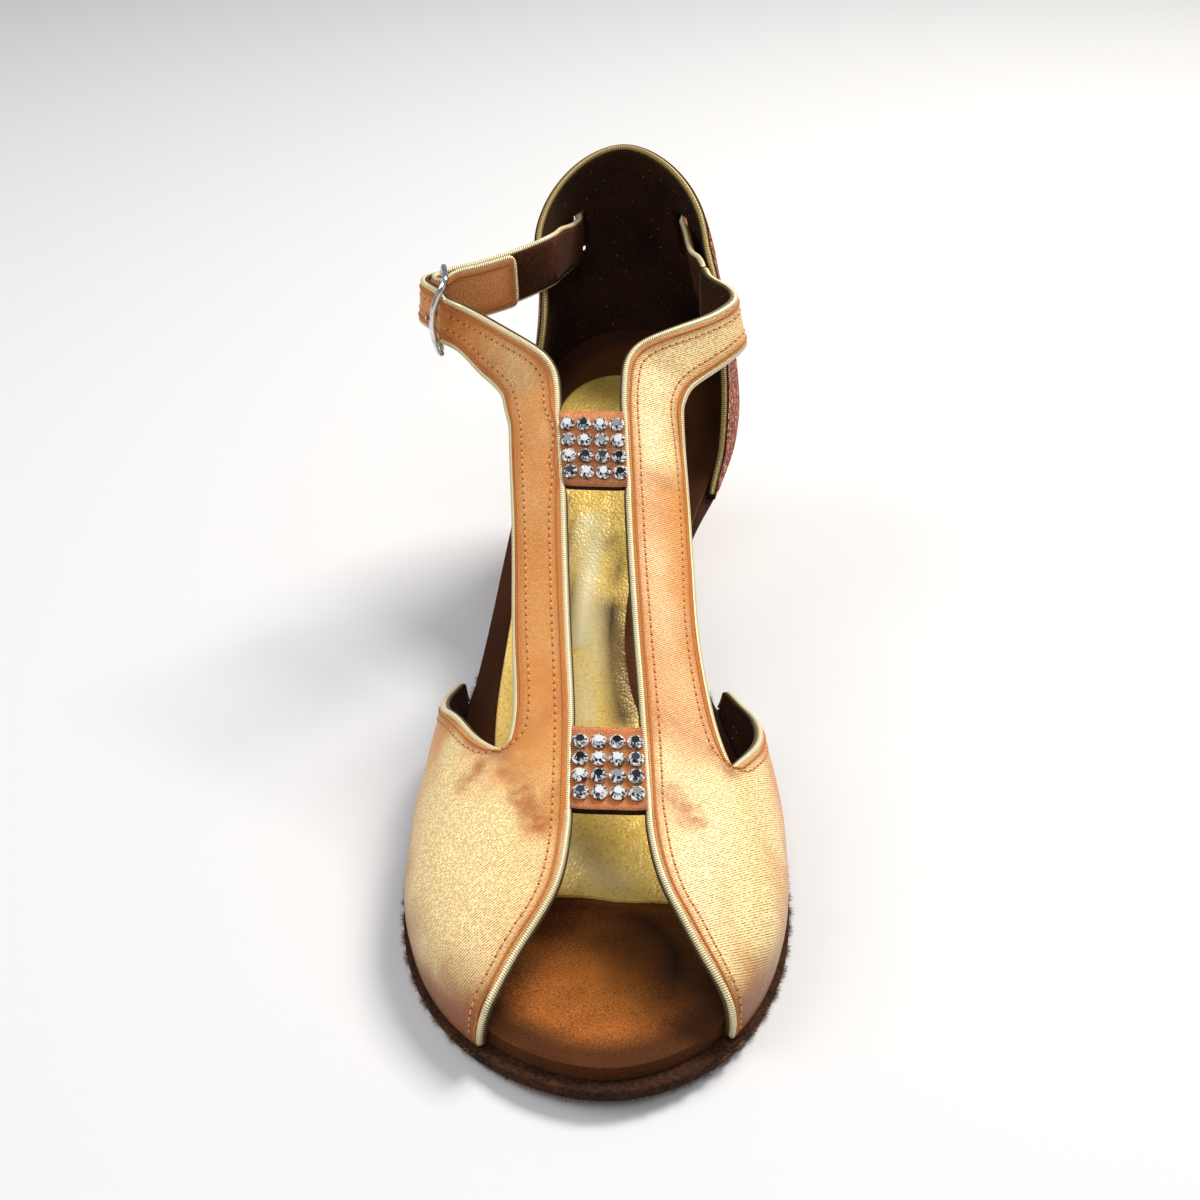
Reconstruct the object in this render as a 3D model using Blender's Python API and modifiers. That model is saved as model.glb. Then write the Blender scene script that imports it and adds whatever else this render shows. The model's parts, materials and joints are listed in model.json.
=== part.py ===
"""Ballroom dance shoe: a lady's open-toe Latin sandal with a T-bar, for the right foot.

The toe points along -Y, the inner side of the foot is +X, and the floor is z = 0.
The origin lies on the floor under the tread, the widest part of the sole.
Heights of the upper are shares of the instep, measured from the insole under them.
"""

import math

import bmesh
import bpy
import numpy as np
from mathutils import Matrix, Vector

MM = 0.001

# Driving sizes
SOLE_LENGTH = 230 * MM
BALL_WIDTH = 83 * MM
SEAT_HEIGHT = 55 * MM
INSTEP_HEIGHT = 49 * MM
COUNTER_HEIGHT = 61 * MM
TOE_SPRING = 3.4 * MM
OUTSOLE = 2.2 * MM
INSOLE = 3.0 * MM
SOCK = 0.8 * MM
UPPER_WALL = 1.8 * MM
COUNTER_WALL = 2.2 * MM
STRAP_WALL = 1.6 * MM
STRAP_HEIGHT = 12.4 * MM
SIDE_BULGE = 2.0 * MM
EDGE_REVEAL = 1.6 * MM
TOE_SETBACK = 3.4 * MM
TIP_HEIGHT = 6.0 * MM
SLOT_WIDTH = 6.4 * MM
SLOT_HEIGHT = 15.4 * MM
STONE_DIAMETER = 3.5 * MM
STONE_HEIGHT = 1.3 * MM
STONE_COLUMN_PITCH = 3.9 * MM
STONE_ROW_PITCH = 4.25 * MM
BUCKLE_CORNER = 3.0 * MM
BAR_FLAT = 4.0 * MM
BUCKLE_HEIGHT = 22.0 * MM
BUCKLE_LENGTH = 12.0 * MM
BUCKLE_WIRE = 1.8 * MM
BUCKLE_BOW = 3.0 * MM
PRONG_WIRE = 1.3 * MM
GAP = 0.3 * MM

# Places along the sole, as shares of its length from the toe
TREAD = 0.34
TREAD_FRONT = 0.151
TOE_ARC = 0.235
HEEL_ARC = 0.853
TOE_CENTRE = 0.0175
SEAT_CENTRE = 0.047
TOE_ROUNDNESS = {-1: 1.85, 1: 1.95}
SEAT_ROUNDNESS = 2.1

OUTLINE = (
    # along, lateral and medial edge of the insole in ball widths, flange of the outsole in full flanges
    (0.235, -0.480, 0.445, 1.00),
    (0.298, -0.482, 0.440, 1.00),
    (0.361, -0.469, 0.419, 0.98),
    (0.424, -0.445, 0.370, 0.88),
    (0.487, -0.410, 0.297, 0.45),
    (0.550, -0.375, 0.223, 0.05),
    (0.613, -0.348, 0.196, -0.10),
    (0.676, -0.324, 0.224, 0.10),
    (0.740, -0.298, 0.286, 0.55),
    (0.802, -0.271, 0.333, 0.62),
    (0.853, -0.256, 0.349, 0.62),
)
ARCH = (
    # along, rise of the outsole's underside in seat heights
    (0.374, 0.000),
    (0.403, 0.018),
    (0.433, 0.053),
    (0.466, 0.109),
    (0.508, 0.204),
    (0.592, 0.421),
    (0.676, 0.612),
    (0.761, 0.760),
    (0.845, 0.870),
    (0.908, 0.930),
    (1.000, 0.993),
)
LAST = (
    # along, crest sideways in ball widths, crest and side rise in insteps, lateral and medial bulge in full bulges
    (0.025, 0.018, 0.150, 0.06, 0.1, 0.1),
    (0.046, 0.018, 0.240, 0.09, 0.1, 0.1),
    (0.088, 0.018, 0.353, 0.11, 0.2, 0.2),
    (0.130, 0.018, 0.441, 0.12, 0.3, 0.3),
    (0.172, 0.018, 0.502, 0.12, 0.4, 0.4),
    (0.214, 0.018, 0.561, 0.12, 0.4, 0.4),
    (0.256, 0.012, 0.620, 0.12, 0.4, 0.5),
    (0.298, 0.007, 0.688, 0.12, 0.5, 0.6),
    (0.340, -0.002, 0.776, 0.12, 0.5, 0.7),
    (0.382, -0.014, 0.863, 0.13, 0.6, 0.8),
    (0.424, -0.025, 0.922, 0.14, 0.7, 1.0),
    (0.466, -0.035, 0.941, 0.17, 0.8, 1.2),
    (0.508, -0.044, 0.941, 0.24, 0.9, 1.4),
    (0.550, -0.052, 0.941, 0.34, 1.0, 1.5),
    (0.592, -0.064, 0.951, 0.42, 1.2, 1.3),
    (0.634, -0.074, 0.990, 0.46, 1.4, 0.9),
    (0.697, -0.078, 1.140, 0.58, 1.6, 0.7),
)
OPENING_FRONT = {-1: 0.051, 1: 0.070}
OPENING = (
    # along, girth from the crest to the edge of the toe opening and slit in ball widths, lateral and medial
    (0.051, 0.345, 0.460),
    (0.058, 0.272, 0.450),
    (0.070, 0.246, 0.400),
    (0.077, 0.232, 0.298),
    (0.090, 0.211, 0.254),
    (0.110, 0.173, 0.212),
    (0.127, 0.145, 0.183),
    (0.142, 0.126, 0.157),
    (0.157, 0.115, 0.138),
    (0.175, 0.108, 0.122),
    (0.210, 0.102, 0.104),
    (0.270, 0.096, 0.096),
    (0.557, 0.096, 0.096),
    (0.618, 0.101, 0.099),
)
NOTCH = 0.288
STRAP_EDGE = (
    # along, girth from the crest to the outer edge of the T-bar in ball widths, lateral and medial
    (0.288, 0.272, 0.336),
    (0.305, 0.250, 0.311),
    (0.340, 0.242, 0.289),
    (0.414, 0.247, 0.280),
    (0.497, 0.248, 0.299),
    (0.566, 0.253, 0.313),
    (0.618, 0.257, 0.316),
)
TOPLINE = (
    # along, girth from the crest to the top edge of the vamp's side in ball widths, lateral and medial
    (0.288, 0.272, 0.336),
    (0.300, 0.322, 0.362),
    (0.322, 0.380, 0.418),
    (0.357, 0.446, 0.500),
    (0.400, 0.560, 0.585),
    (0.426, 0.620, 0.638),
    (0.452, 0.672, 0.690),
    (0.488, 0.752, 0.745),
)
FLAP_END = 0.492
STRAP_END = 0.622

WING_LATERAL = (
    # top edge: ball widths sideways, along, insteps up; low edge: the same three
    (-0.181, 0.647, 0.970, -0.323, 0.642, 0.806),
    (-0.206, 0.657, 1.002, -0.331, 0.654, 0.810),
    (-0.240, 0.666, 1.015, -0.345, 0.663, 0.808),
    (-0.287, 0.679, 1.008, -0.372, 0.675, 0.800),
    (-0.352, 0.697, 0.994, -0.412, 0.690, 0.791),
    (-0.413, 0.714, 0.982, -0.463, 0.710, 0.801),
    (-0.476, 0.731, 0.968, -0.503, 0.725, 0.788),
)
WING_MEDIAL = (
    # top edge: ball widths sideways, along, insteps up; low edge: the same three
    (0.027, 0.649, 0.989, 0.188, 0.642, 0.808),
    (0.039, 0.662, 1.008, 0.194, 0.651, 0.821),
    (0.067, 0.673, 1.021, 0.204, 0.660, 0.828),
    (0.129, 0.683, 1.032, 0.227, 0.672, 0.824),
    (0.212, 0.701, 1.012, 0.280, 0.692, 0.801),
    (0.273, 0.718, 0.984, 0.340, 0.718, 0.770),
    (0.325, 0.738, 0.960, 0.375, 0.738, 0.748),
    (0.349, 0.753, 0.946, 0.382, 0.754, 0.718),
    (0.343, 0.767, 0.940, 0.366, 0.768, 0.694),
    (0.312, 0.779, 0.935, 0.323, 0.780, 0.682),
    (0.274, 0.790, 0.932, 0.279, 0.791, 0.677),
    (0.261, 0.806, 0.931, 0.264, 0.807, 0.675),
)
SOCK_OUTLINE = (
    # along, lateral and medial edge of the sock in ball widths
    (0.228, -0.152, 0.222),
    (0.290, -0.190, 0.215),
    (0.360, -0.290, 0.205),
    (0.420, -0.330, 0.165),
    (0.465, -0.335, 0.083),
    (0.510, -0.325, 0.042),
    (0.550, -0.312, 0.030),
    (0.600, -0.296, 0.042),
    (0.655, -0.276, 0.075),
    (0.730, -0.245, 0.125),
    (0.800, -0.215, 0.160),
)
SOCK_ARC = 0.80
SOCK_END = 0.895
SOCK_CENTRE = -0.02

COUNTER = (
    # front along and its rise in counter heights, back along and its rise, half width and centre in ball widths
    (0.742, 0.085, 1.014, 0.120, 0.338, 0.044),
    (0.757, 0.250, 1.015, 0.270, 0.325, 0.045),
    (0.770, 0.400, 1.011, 0.420, 0.311, 0.038),
    (0.782, 0.530, 1.001, 0.570, 0.296, 0.030),
    (0.792, 0.640, 0.988, 0.710, 0.284, 0.020),
    (0.802, 0.730, 0.973, 0.860, 0.280, 0.008),
    (0.812, 0.790, 0.957, 0.985, 0.272, -0.004),
)
COUNTER_FRONT = 0.720
COUNTER_ARC = 0.853
COUNTER_ROUNDNESS = (2.1, 1.8)
COUNTER_SHIFT = 0.6
WAIST_FADE = 2.5
BACK_ARC = 0.5
COUNTER_LEVELS = (0, 0.07, 0.143)
SLOT_ANGLE = 41
SLOT_RISE = 0.585
SLOT_CROSSING = 0.075

HEEL = (
    # level in heights under the breast, breast along, back along, half width in ball widths
    (0.86, 0.836, 1.004, 0.262),
    (0.72, 0.853, 0.999, 0.212),
    (0.57, 0.866, 0.992, 0.176),
    (0.42, 0.875, 0.985, 0.151),
    (0.27, 0.880, 0.980, 0.137),
    (0.12, 0.882, 0.979, 0.131),
    (0.00, 0.882, 0.981, 0.133),
)

BARS = ((0.220, 0.305), (0.542, 0.614))
BAR_SINK = 0.9 * MM
BAR_CROWN = 0.3 * SIDE_BULGE
BAR_COLUMNS = 6
STONE_ROWS = 4

MEDIAL_RUN = (
    # ankle strap inside the counter before its slot: around, slack in strap walls, share of the climb
    (0.60, 0.6, 0.2),
    (0.50, 1.6, 0.45),
    (0.40, 1.8, 0.7),
    (0.32, 0.9, 0.9),
)
LATERAL_TURN = (-0.32, 0.6)

FRONT_RUN = (
    # ankle strap from the buckle to the counter: ball widths sideways, along, insteps up, lean
    (-0.494, 0.783, 0.862, -0.10),
    (-0.440, 0.784, 0.880, -0.08),
    (-0.385, 0.785, 0.905, -0.06),
    (-0.325, 0.787, 0.935, -0.04),
    (-0.275, 0.792, 0.955, -0.02),
    (-0.227, 0.804, 0.957, 0.00),
    (-0.201, 0.823, 0.925, 0.00),
    (-0.192, 0.850, 0.868, 0.02),
)
FOLD_ROWS = 4
TAIL_HEIGHTS = (0.84, 0.82, 0.80, 0.80, 0.80, 0.78, 0.76, 0.72, 0.62, 0.40)
TAIL_TURNS = (-0.35, 0.0, 0.4, 0.8)
TAIL_BOW = (0.7, 1.9)
FOLD_TURNS = (90, 45, 0, -45, -90)
FOLD_SLACK = 1.5 * GAP
BUCKLE_PLACE = (-0.530, 0.748, 0.888)
BUCKLE_TURN = 100
BUCKLE_LEAN = 0.10


# Working out sizes

def smooth(table, at, col):
    """Value of a table's column at a share of the length, on a cubic that never overshoots."""
    xs = [row[0] for row in table]
    ys = [row[col] for row in table]
    at = min(max(at, xs[0]), xs[-1])
    slopes = [(ys[i + 1] - ys[i]) / (xs[i + 1] - xs[i]) for i in range(len(xs) - 1)]
    tangents = [slopes[0]]
    for before, after in zip(slopes, slopes[1:]):
        tangents.append(0.0 if before * after <= 0 else 2 * before * after / (before + after))
    tangents.append(slopes[-1])
    i = max(k for k in range(len(slopes)) if xs[k] <= at)
    span = xs[i + 1] - xs[i]
    t = (at - xs[i]) / span
    start = (1 + 2 * t) * (1 - t) ** 2 * ys[i] + t * (1 - t) ** 2 * span * tangents[i]
    end = t * t * (3 - 2 * t) * ys[i + 1] + t * t * (t - 1) * span * tangents[i + 1]
    return start + end


def y_of(along):
    return (along - TREAD) * SOLE_LENGTH


def along_of(y):
    return y / SOLE_LENGTH + TREAD


def underside(along):
    """Height of the outsole's underside over the floor."""
    if along < TREAD_FRONT:
        return TOE_SPRING * ((TREAD_FRONT - along) / TREAD_FRONT) ** 2
    if along < ARCH[0][0]:
        return 0.0
    return smooth(ARCH, along, 1) * SEAT_HEIGHT


def layer(along, thickness):
    """Height of a layer's top over the outsole's underside, square to the slope."""
    step = 0.004
    slope = (underside(along + step) - underside(along - step)) / (2 * step * SOLE_LENGTH)
    return underside(along) + thickness * math.hypot(1, slope)


def insole_top(along):
    return layer(along, OUTSOLE + GAP + INSOLE)


def outsole_top(along):
    return layer(along, OUTSOLE)


def place(across, along, rise):
    """Point over the insole: ball widths sideways, share along, insteps up."""
    return Vector((across * BALL_WIDTH, y_of(along), insole_top(along) + rise * INSTEP_HEIGHT))


FLANGE = UPPER_WALL + GAP + EDGE_REVEAL


def insole_edge(along, side):
    """Sideways place of the insole's edge."""
    col = 1 if side < 0 else 2
    if along < TOE_ARC:
        centre = TOE_CENTRE * BALL_WIDTH
        depth = TOE_ARC * SOLE_LENGTH - TOE_SETBACK
        share = min(1.0, (TOE_ARC - along) * SOLE_LENGTH / depth)
        bend = TOE_ROUNDNESS[side]
        wide = OUTLINE[0][col] * BALL_WIDTH
    elif along > HEEL_ARC:
        centre = SEAT_CENTRE * BALL_WIDTH
        share = min(1.0, (along - HEEL_ARC) / (1 - HEEL_ARC))
        bend = SEAT_ROUNDNESS
        wide = OUTLINE[-1][col] * BALL_WIDTH
    else:
        return smooth(OUTLINE, along, col) * BALL_WIDTH
    return centre + (wide - centre) * (1 - share ** bend) ** (1 / bend)


def outline(station, side, grow):
    """Plan point of the insole's outline: station 0 to 1 along the toe, to 2 along the sides, to 3 round the seat."""
    def bare(at):
        if at < 1:
            turn = math.radians(90 * (1 - at))
            share = math.sin(turn) ** (2 / TOE_ROUNDNESS[side])
            along = TOE_ARC - share * (TOE_ARC - TOE_SETBACK / SOLE_LENGTH)
        elif at > 2:
            turn = math.radians(90 * (at - 2))
            along = HEEL_ARC + math.sin(turn) ** (2 / SEAT_ROUNDNESS) * (1 - HEEL_ARC)
        else:
            along = TOE_ARC + (at - 1) * (HEEL_ARC - TOE_ARC)
        return Vector((insole_edge(along, side), y_of(along)))
    step = 0.004
    run = bare(min(station + step, 3 - step)) - bare(max(station - step, step))
    out = Vector((run.y, -run.x)).normalized() * side
    return bare(station) + out * grow


STATIONS = ([0.045, 0.13, 0.25, 0.38, 0.52, 0.67, 0.83]
            + [1 + i / 20 for i in range(20)]
            + [2.0, 2.2, 2.38, 2.55, 2.7, 2.83, 2.95])


def last_line(along, side, count=48):
    """Outer line of the upper at one place along the shoe, from the crest down to the sole, with its girth."""
    crest_x = smooth(LAST, along, 1) * BALL_WIDTH
    base = insole_top(along)
    crest_z = base + smooth(LAST, along, 2) * INSTEP_HEIGHT
    side_z = base + smooth(LAST, along, 3) * INSTEP_HEIGHT
    step = 0.002
    turn = (insole_edge(along + step, side) - insole_edge(along - step, side)) / (2 * step * SOLE_LENGTH)
    sole_x = insole_edge(along, side) + side * (GAP + UPPER_WALL) * math.hypot(1, turn)
    side_x = sole_x + side * SIDE_BULGE * smooth(LAST, along, 4 if side < 0 else 5)
    sole_z = outsole_top(along) + GAP
    line = []
    for k in range(count + 1):
        turn = math.pi / 2 * k / count
        line.append((crest_x + (side_x - crest_x) * math.sin(turn), side_z + (crest_z - side_z) * math.cos(turn)))
    for k in range(1, count // 3 + 1):
        turn = math.pi / 2 * k / (count // 3)
        line.append((sole_x + (side_x - sole_x) * math.cos(turn), side_z - (side_z - sole_z) * math.sin(turn)))
    line = np.array(line)
    girth = np.concatenate([[0], np.cumsum(np.hypot(*np.diff(line, axis=0).T))])
    return line, girth


def on_last(along, side, share_from, share_to, share):
    """Point on the last between two girths, given in ball widths; None stands for the sole's edge."""
    line, girth = last_line(along, side)
    start = min(share_from * BALL_WIDTH, girth[-1])
    end = girth[-1] if share_to is None else min(share_to * BALL_WIDTH, girth[-1])
    at = start + (end - start) * share
    return Vector((np.interp(at, girth, line[:, 0]), y_of(along), np.interp(at, girth, line[:, 1])))


def through(points, steps):
    """Points on a smooth curve through the given ones, with so many steps from each to the next."""
    ends = [points[0] * 2 - points[1]] + list(points) + [points[-1] * 2 - points[-2]]
    curve = []
    for a, b, c, d in zip(ends, ends[1:], ends[2:], ends[3:]):
        for k in range(steps):
            t = k / steps
            curve.append(0.5 * ((2 * b) + (c - a) * t + (2 * a - 5 * b + 4 * c - d) * t * t
                                + (3 * b - a - 3 * c + d) * t ** 3))
    return curve + [points[-1].copy()]


def counter_point(around, level):
    """Outer skin of the counter: around -1 and 1 are its front edges, level 0 the sole and 1 the rim."""
    side = -1 if around < 0 else 1
    turn = min(abs(around) / BACK_ARC, 1.0) * math.pi / 2
    ahead = max(abs(around) / BACK_ARC - 1, 0.0)
    if ahead > 0:
        along = HEEL_ARC + (COUNTER_FRONT - HEEL_ARC) * ahead
        foot = Vector((insole_edge(along, side) + side * (2 * GAP + COUNTER_WALL), y_of(along)))
    else:
        share = math.cos(turn) ** (2 / SEAT_ROUNDNESS)
        along = HEEL_ARC + share * (1 - HEEL_ARC)
        centre = SEAT_CENTRE * BALL_WIDTH
        wide = abs(OUTLINE[-1][1 if side < 0 else 2] * BALL_WIDTH - centre) + 2 * GAP + COUNTER_WALL
        y = y_of(HEEL_ARC) + share * ((1 - HEEL_ARC) * SOLE_LENGTH + 2 * GAP + COUNTER_WALL)
        foot = Vector((centre + side * wide * math.sin(turn) ** (2 / SEAT_ROUNDNESS), y))
    foot = Vector((foot.x, foot.y, outsole_top(along) + 2 * GAP))
    if level <= 0:
        return foot
    base = outsole_top(1.0)
    rows = [(i / len(COUNTER),) + row for i, row in enumerate(COUNTER, 1)]
    first = rows[0]
    front, front_up, back, back_up, wide, mid = [smooth(rows, max(level, first[0]), c) for c in range(1, 7)]
    bend = COUNTER_ROUNDNESS[0] + (COUNTER_ROUNDNESS[1] - COUNTER_ROUNDNESS[0]) * level
    mid_x = mid * BALL_WIDTH
    if ahead > 0:
        y = y_of(COUNTER_ARC + (front - COUNTER_ARC) * ahead)
        x = mid_x + side * wide * BALL_WIDTH
        x += (SEAT_CENTRE * BALL_WIDTH - mid_x) * COUNTER_SHIFT * ahead
        waist = insole_edge(along, side) - insole_edge(HEEL_ARC, side)
        x += waist * (1 - level) ** WAIST_FADE
    else:
        y = y_of(COUNTER_ARC) + (back - COUNTER_ARC) * SOLE_LENGTH * math.cos(turn) ** (2 / bend)
        x = mid_x + side * wide * BALL_WIDTH * math.sin(turn) ** (2 / bend)
    run = (y - y_of(front)) / (y_of(back) - y_of(front))
    front_z = insole_top(COUNTER_FRONT) + front_up * COUNTER_HEIGHT
    back_z = base + back_up * COUNTER_HEIGHT
    body = Vector((x, y, front_z + (back_z - front_z) * run))
    if level < first[0]:
        return foot.lerp(body, level / first[0])
    return body


def counter_frame(around, height, stand):
    """Point that stands off the counter's skin at a height, with the skin's upward direction."""
    low, high = 0.0, 1.0
    for _ in range(24):
        level = (low + high) / 2
        if counter_point(around, level).z < height:
            low = level
        else:
            high = level
    up = (counter_point(around, level + 0.02) - counter_point(around, level - 0.02)).normalized()
    step = 0.01
    back = (counter_point(around - step, level) - counter_point(around + step, level)).normalized()
    out = back.cross(up).normalized()
    skin = counter_point(around, level)
    if out.dot(skin - Vector((skin.x * 0.2, y_of(COUNTER_ARC) - 0.02, skin.z))) < 0:
        out = -out
    return skin + out * stand, up


# Making solids

def clear_scene():
    for item in list(bpy.data.objects):
        bpy.data.objects.remove(item, do_unlink=True)


def finish(name, colour, roughness, metallic=0.0):
    """Material of one piece."""
    material = bpy.data.materials.new(name)
    material.use_nodes = True
    shader = material.node_tree.nodes["Principled BSDF"]
    shader.inputs["Base Color"].default_value = (*colour, 1)
    shader.inputs["Roughness"].default_value = roughness
    shader.inputs["Metallic"].default_value = metallic
    return material


def add_object(name, mesh, collection, material=None):
    item = bpy.data.objects.new(name, mesh)
    collection.objects.link(item)
    if material:
        mesh.materials.append(material)
    return item


def sheet_mesh(name, patches, outward):
    """One open surface from grids of points; faces turn so that the one nearest to outward's start looks its way."""
    shape = bmesh.new()
    for grid in patches:
        rows = [[shape.verts.new(point) for point in row] for row in grid]
        for upper, lower in zip(rows, rows[1:]):
            for a, b, c, d in zip(upper, upper[1:], lower[1:], lower):
                shape.faces.new((a, b, c, d))
    bmesh.ops.remove_doubles(shape, verts=shape.verts, dist=0.02 * MM)
    bmesh.ops.recalc_face_normals(shape, faces=shape.faces)
    start, direction = outward
    nearest = min(shape.faces, key=lambda face: (face.calc_center_median() - start).length)
    if nearest.normal.dot(direction) < 0:
        bmesh.ops.reverse_faces(shape, faces=shape.faces)
    mesh = bpy.data.meshes.new(name)
    shape.to_mesh(mesh)
    shape.free()
    mesh.shade_smooth()
    return mesh


def wall(item, thickness, offset=-1.0):
    """Gives an open surface its thickness: offset -1 grows it inwards, 0 both ways."""
    solidify = item.modifiers.new("wall", "SOLIDIFY")
    solidify.thickness = thickness
    solidify.offset = offset
    solidify.use_even_offset = True
    solidify.use_quality_normals = True
    return solidify


def cut(item, cutter):
    boolean = item.modifiers.new("cut", "BOOLEAN")
    boolean.operation = "DIFFERENCE"
    boolean.solver = "EXACT"
    boolean.object = cutter


def box_cutter(name, size, matrix, collection):
    shape = bmesh.new()
    bmesh.ops.create_cube(shape, size=1)
    bmesh.ops.transform(shape, matrix=Matrix.Diagonal((*size, 1)), verts=shape.verts)
    mesh = bpy.data.meshes.new(name)
    shape.to_mesh(mesh)
    shape.free()
    item = add_object(name, mesh, collection)
    item.matrix_world = matrix
    item.hide_render = True
    item.display_type = "WIRE"
    return item


def plate(name, top, collection, material, thickness, outline_at, stations):
    """Sole layer: its top surface follows the sole, and its wall hangs below, square to it."""
    grid = []
    for station in stations:
        left = outline_at(station, -1)
        right = outline_at(station, 1)
        row = [left.lerp(right, k / 2) for k in range(3)]
        grid.append([Vector((point.x, point.y, top(along_of(point.y)))) for point in row])
    mesh = sheet_mesh(name, [grid], (grid[len(grid) // 2][1], Vector((0, 0, 1))))
    item = add_object(name, mesh, collection, material)
    wall(item, thickness)
    return item


def make_outsole(collection):
    def edge(station, side):
        flange = FLANGE
        if station > 1:
            flange *= smooth(OUTLINE, TOE_ARC + (station - 1) * (HEEL_ARC - TOE_ARC), 3)
        return outline(station, side, flange)
    suede = finish("chrome suede", (0.16, 0.07, 0.03), 0.95)
    plate("outsole", outsole_top, collection, suede, OUTSOLE, edge, STATIONS)


def make_insole(collection):
    suede = finish("insole suede", (0.20, 0.09, 0.035), 0.9)
    plate("insole", insole_top, collection, suede, INSOLE, lambda station, side: outline(station, side, 0.0), STATIONS)


def make_sock(collection):
    def edge(station, side):
        col = 1 if side < 0 else 2
        if station <= 1:
            along = SOCK_OUTLINE[0][0] + station * (SOCK_ARC - SOCK_OUTLINE[0][0])
            return Vector((smooth(SOCK_OUTLINE, along, col) * BALL_WIDTH, y_of(along)))
        turn = math.radians(90 * (station - 1))
        along = SOCK_ARC + math.sin(turn) * (SOCK_END - SOCK_ARC)
        wide = SOCK_OUTLINE[-1][col] - SOCK_CENTRE
        return Vector(((SOCK_CENTRE + wide * math.cos(turn)) * BALL_WIDTH, y_of(along)))

    def top(along):
        return layer(along, OUTSOLE + GAP + INSOLE + GAP + SOCK)
    leather = finish("gold leather", (0.62, 0.45, 0.13), 0.35, 0.6)
    stations = [i / 18 for i in range(19)] + [1.2, 1.4, 1.6, 1.8, 1.95]
    plate("sock", top, collection, leather, SOCK, edge, stations)


HEEL_STATIONS = [1.92, 1.96, 2.0, 2.1, 2.2, 2.3, 2.42, 2.55, 2.68, 2.80, 2.9, 2.97]


def heel_ring(breast, back, half, height_at=None):
    """Section of the heel as pairs of points, from the breast to the back: the seat's outline made smaller."""
    grow = FLANGE * OUTLINE[-1][3] - GAP
    seat = [[outline(station, side, grow) for side in (-1, 1)] for station in HEEL_STATIONS]
    centre = SEAT_CENTRE * BALL_WIDTH
    seat_half = max(pair[1].x for pair in seat) - centre
    first, last = seat[0][0].y, seat[-1][0].y
    if height_at is None:
        return [[Vector((point.x, point.y, underside(along_of(point.y)) - GAP)) for point in pair] for pair in seat]
    ring = []
    for pair in seat:
        points = []
        for point in pair:
            y = y_of(breast) + (point.y - first) / (last - first) * (y_of(back) - y_of(breast))
            points.append(Vector((centre + (point.x - centre) * half / seat_half, y, height_at)))
        ring.append(points)
    return ring


def loft_pairs(name, rings, collection, material):
    """Closed solid through sections that are given as pairs of points."""
    shape = bmesh.new()
    levels = [[[shape.verts.new(point) for point in pair] for pair in ring] for ring in rings]
    loops = [[pair[0] for pair in level] + [pair[1] for pair in reversed(level)] for level in levels]
    for upper, lower in zip(loops, loops[1:]):
        count = len(upper)
        for k in range(count):
            after = (k + 1) % count
            shape.faces.new((upper[k], upper[after], lower[after], lower[k]))
    for level in (levels[0], levels[-1]):
        for pair, following in zip(level, level[1:]):
            shape.faces.new((pair[0], pair[1], following[1], following[0]))
    bmesh.ops.recalc_face_normals(shape, faces=shape.faces)
    mesh = bpy.data.meshes.new(name)
    shape.to_mesh(mesh)
    shape.free()
    mesh.shade_smooth()
    mesh.set_sharp_from_angle(angle=math.radians(40))
    return add_object(name, mesh, collection, material)


def make_heel(collection):
    satin = finish("heel satin", (0.66, 0.42, 0.24), 0.45)
    foot = TIP_HEIGHT + GAP
    seat = underside(HEEL[0][1])
    rings = [heel_ring(0, 0, 0)]
    for level, breast, back, half in HEEL:
        rings.append(heel_ring(breast, back, half * BALL_WIDTH, foot + (seat - foot) * level))
    loft_pairs("heel", rings, collection, satin)
    rubber = finish("heel tip", (0.05, 0.04, 0.035), 0.6)
    breast, back, half = HEEL[-1][1:]
    rings = [heel_ring(breast, back, half * BALL_WIDTH, height) for height in (TIP_HEIGHT, TIP_HEIGHT / 2, 0.0)]
    loft_pairs("heel_tip", rings, collection, rubber)


def spread(start, end, count):
    return [start + (end - start) * k / count for k in range(count + 1)]


VAMP_ROWS = [BARS[0][0], 0.241, 0.262, 0.275, NOTCH]
TOE_ROWS = 11
STRAP_ROWS = [NOTCH, BARS[0][1]] + spread(0.330, 0.517, 8) + [BARS[1][0], 0.578, BARS[1][1], STRAP_END]
FLAP_ROWS = [NOTCH, 0.300, 0.315] + spread(0.332, FLAP_END, 9)
STRAP_COLUMNS = 3
SIDE_COLUMNS = 7


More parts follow.
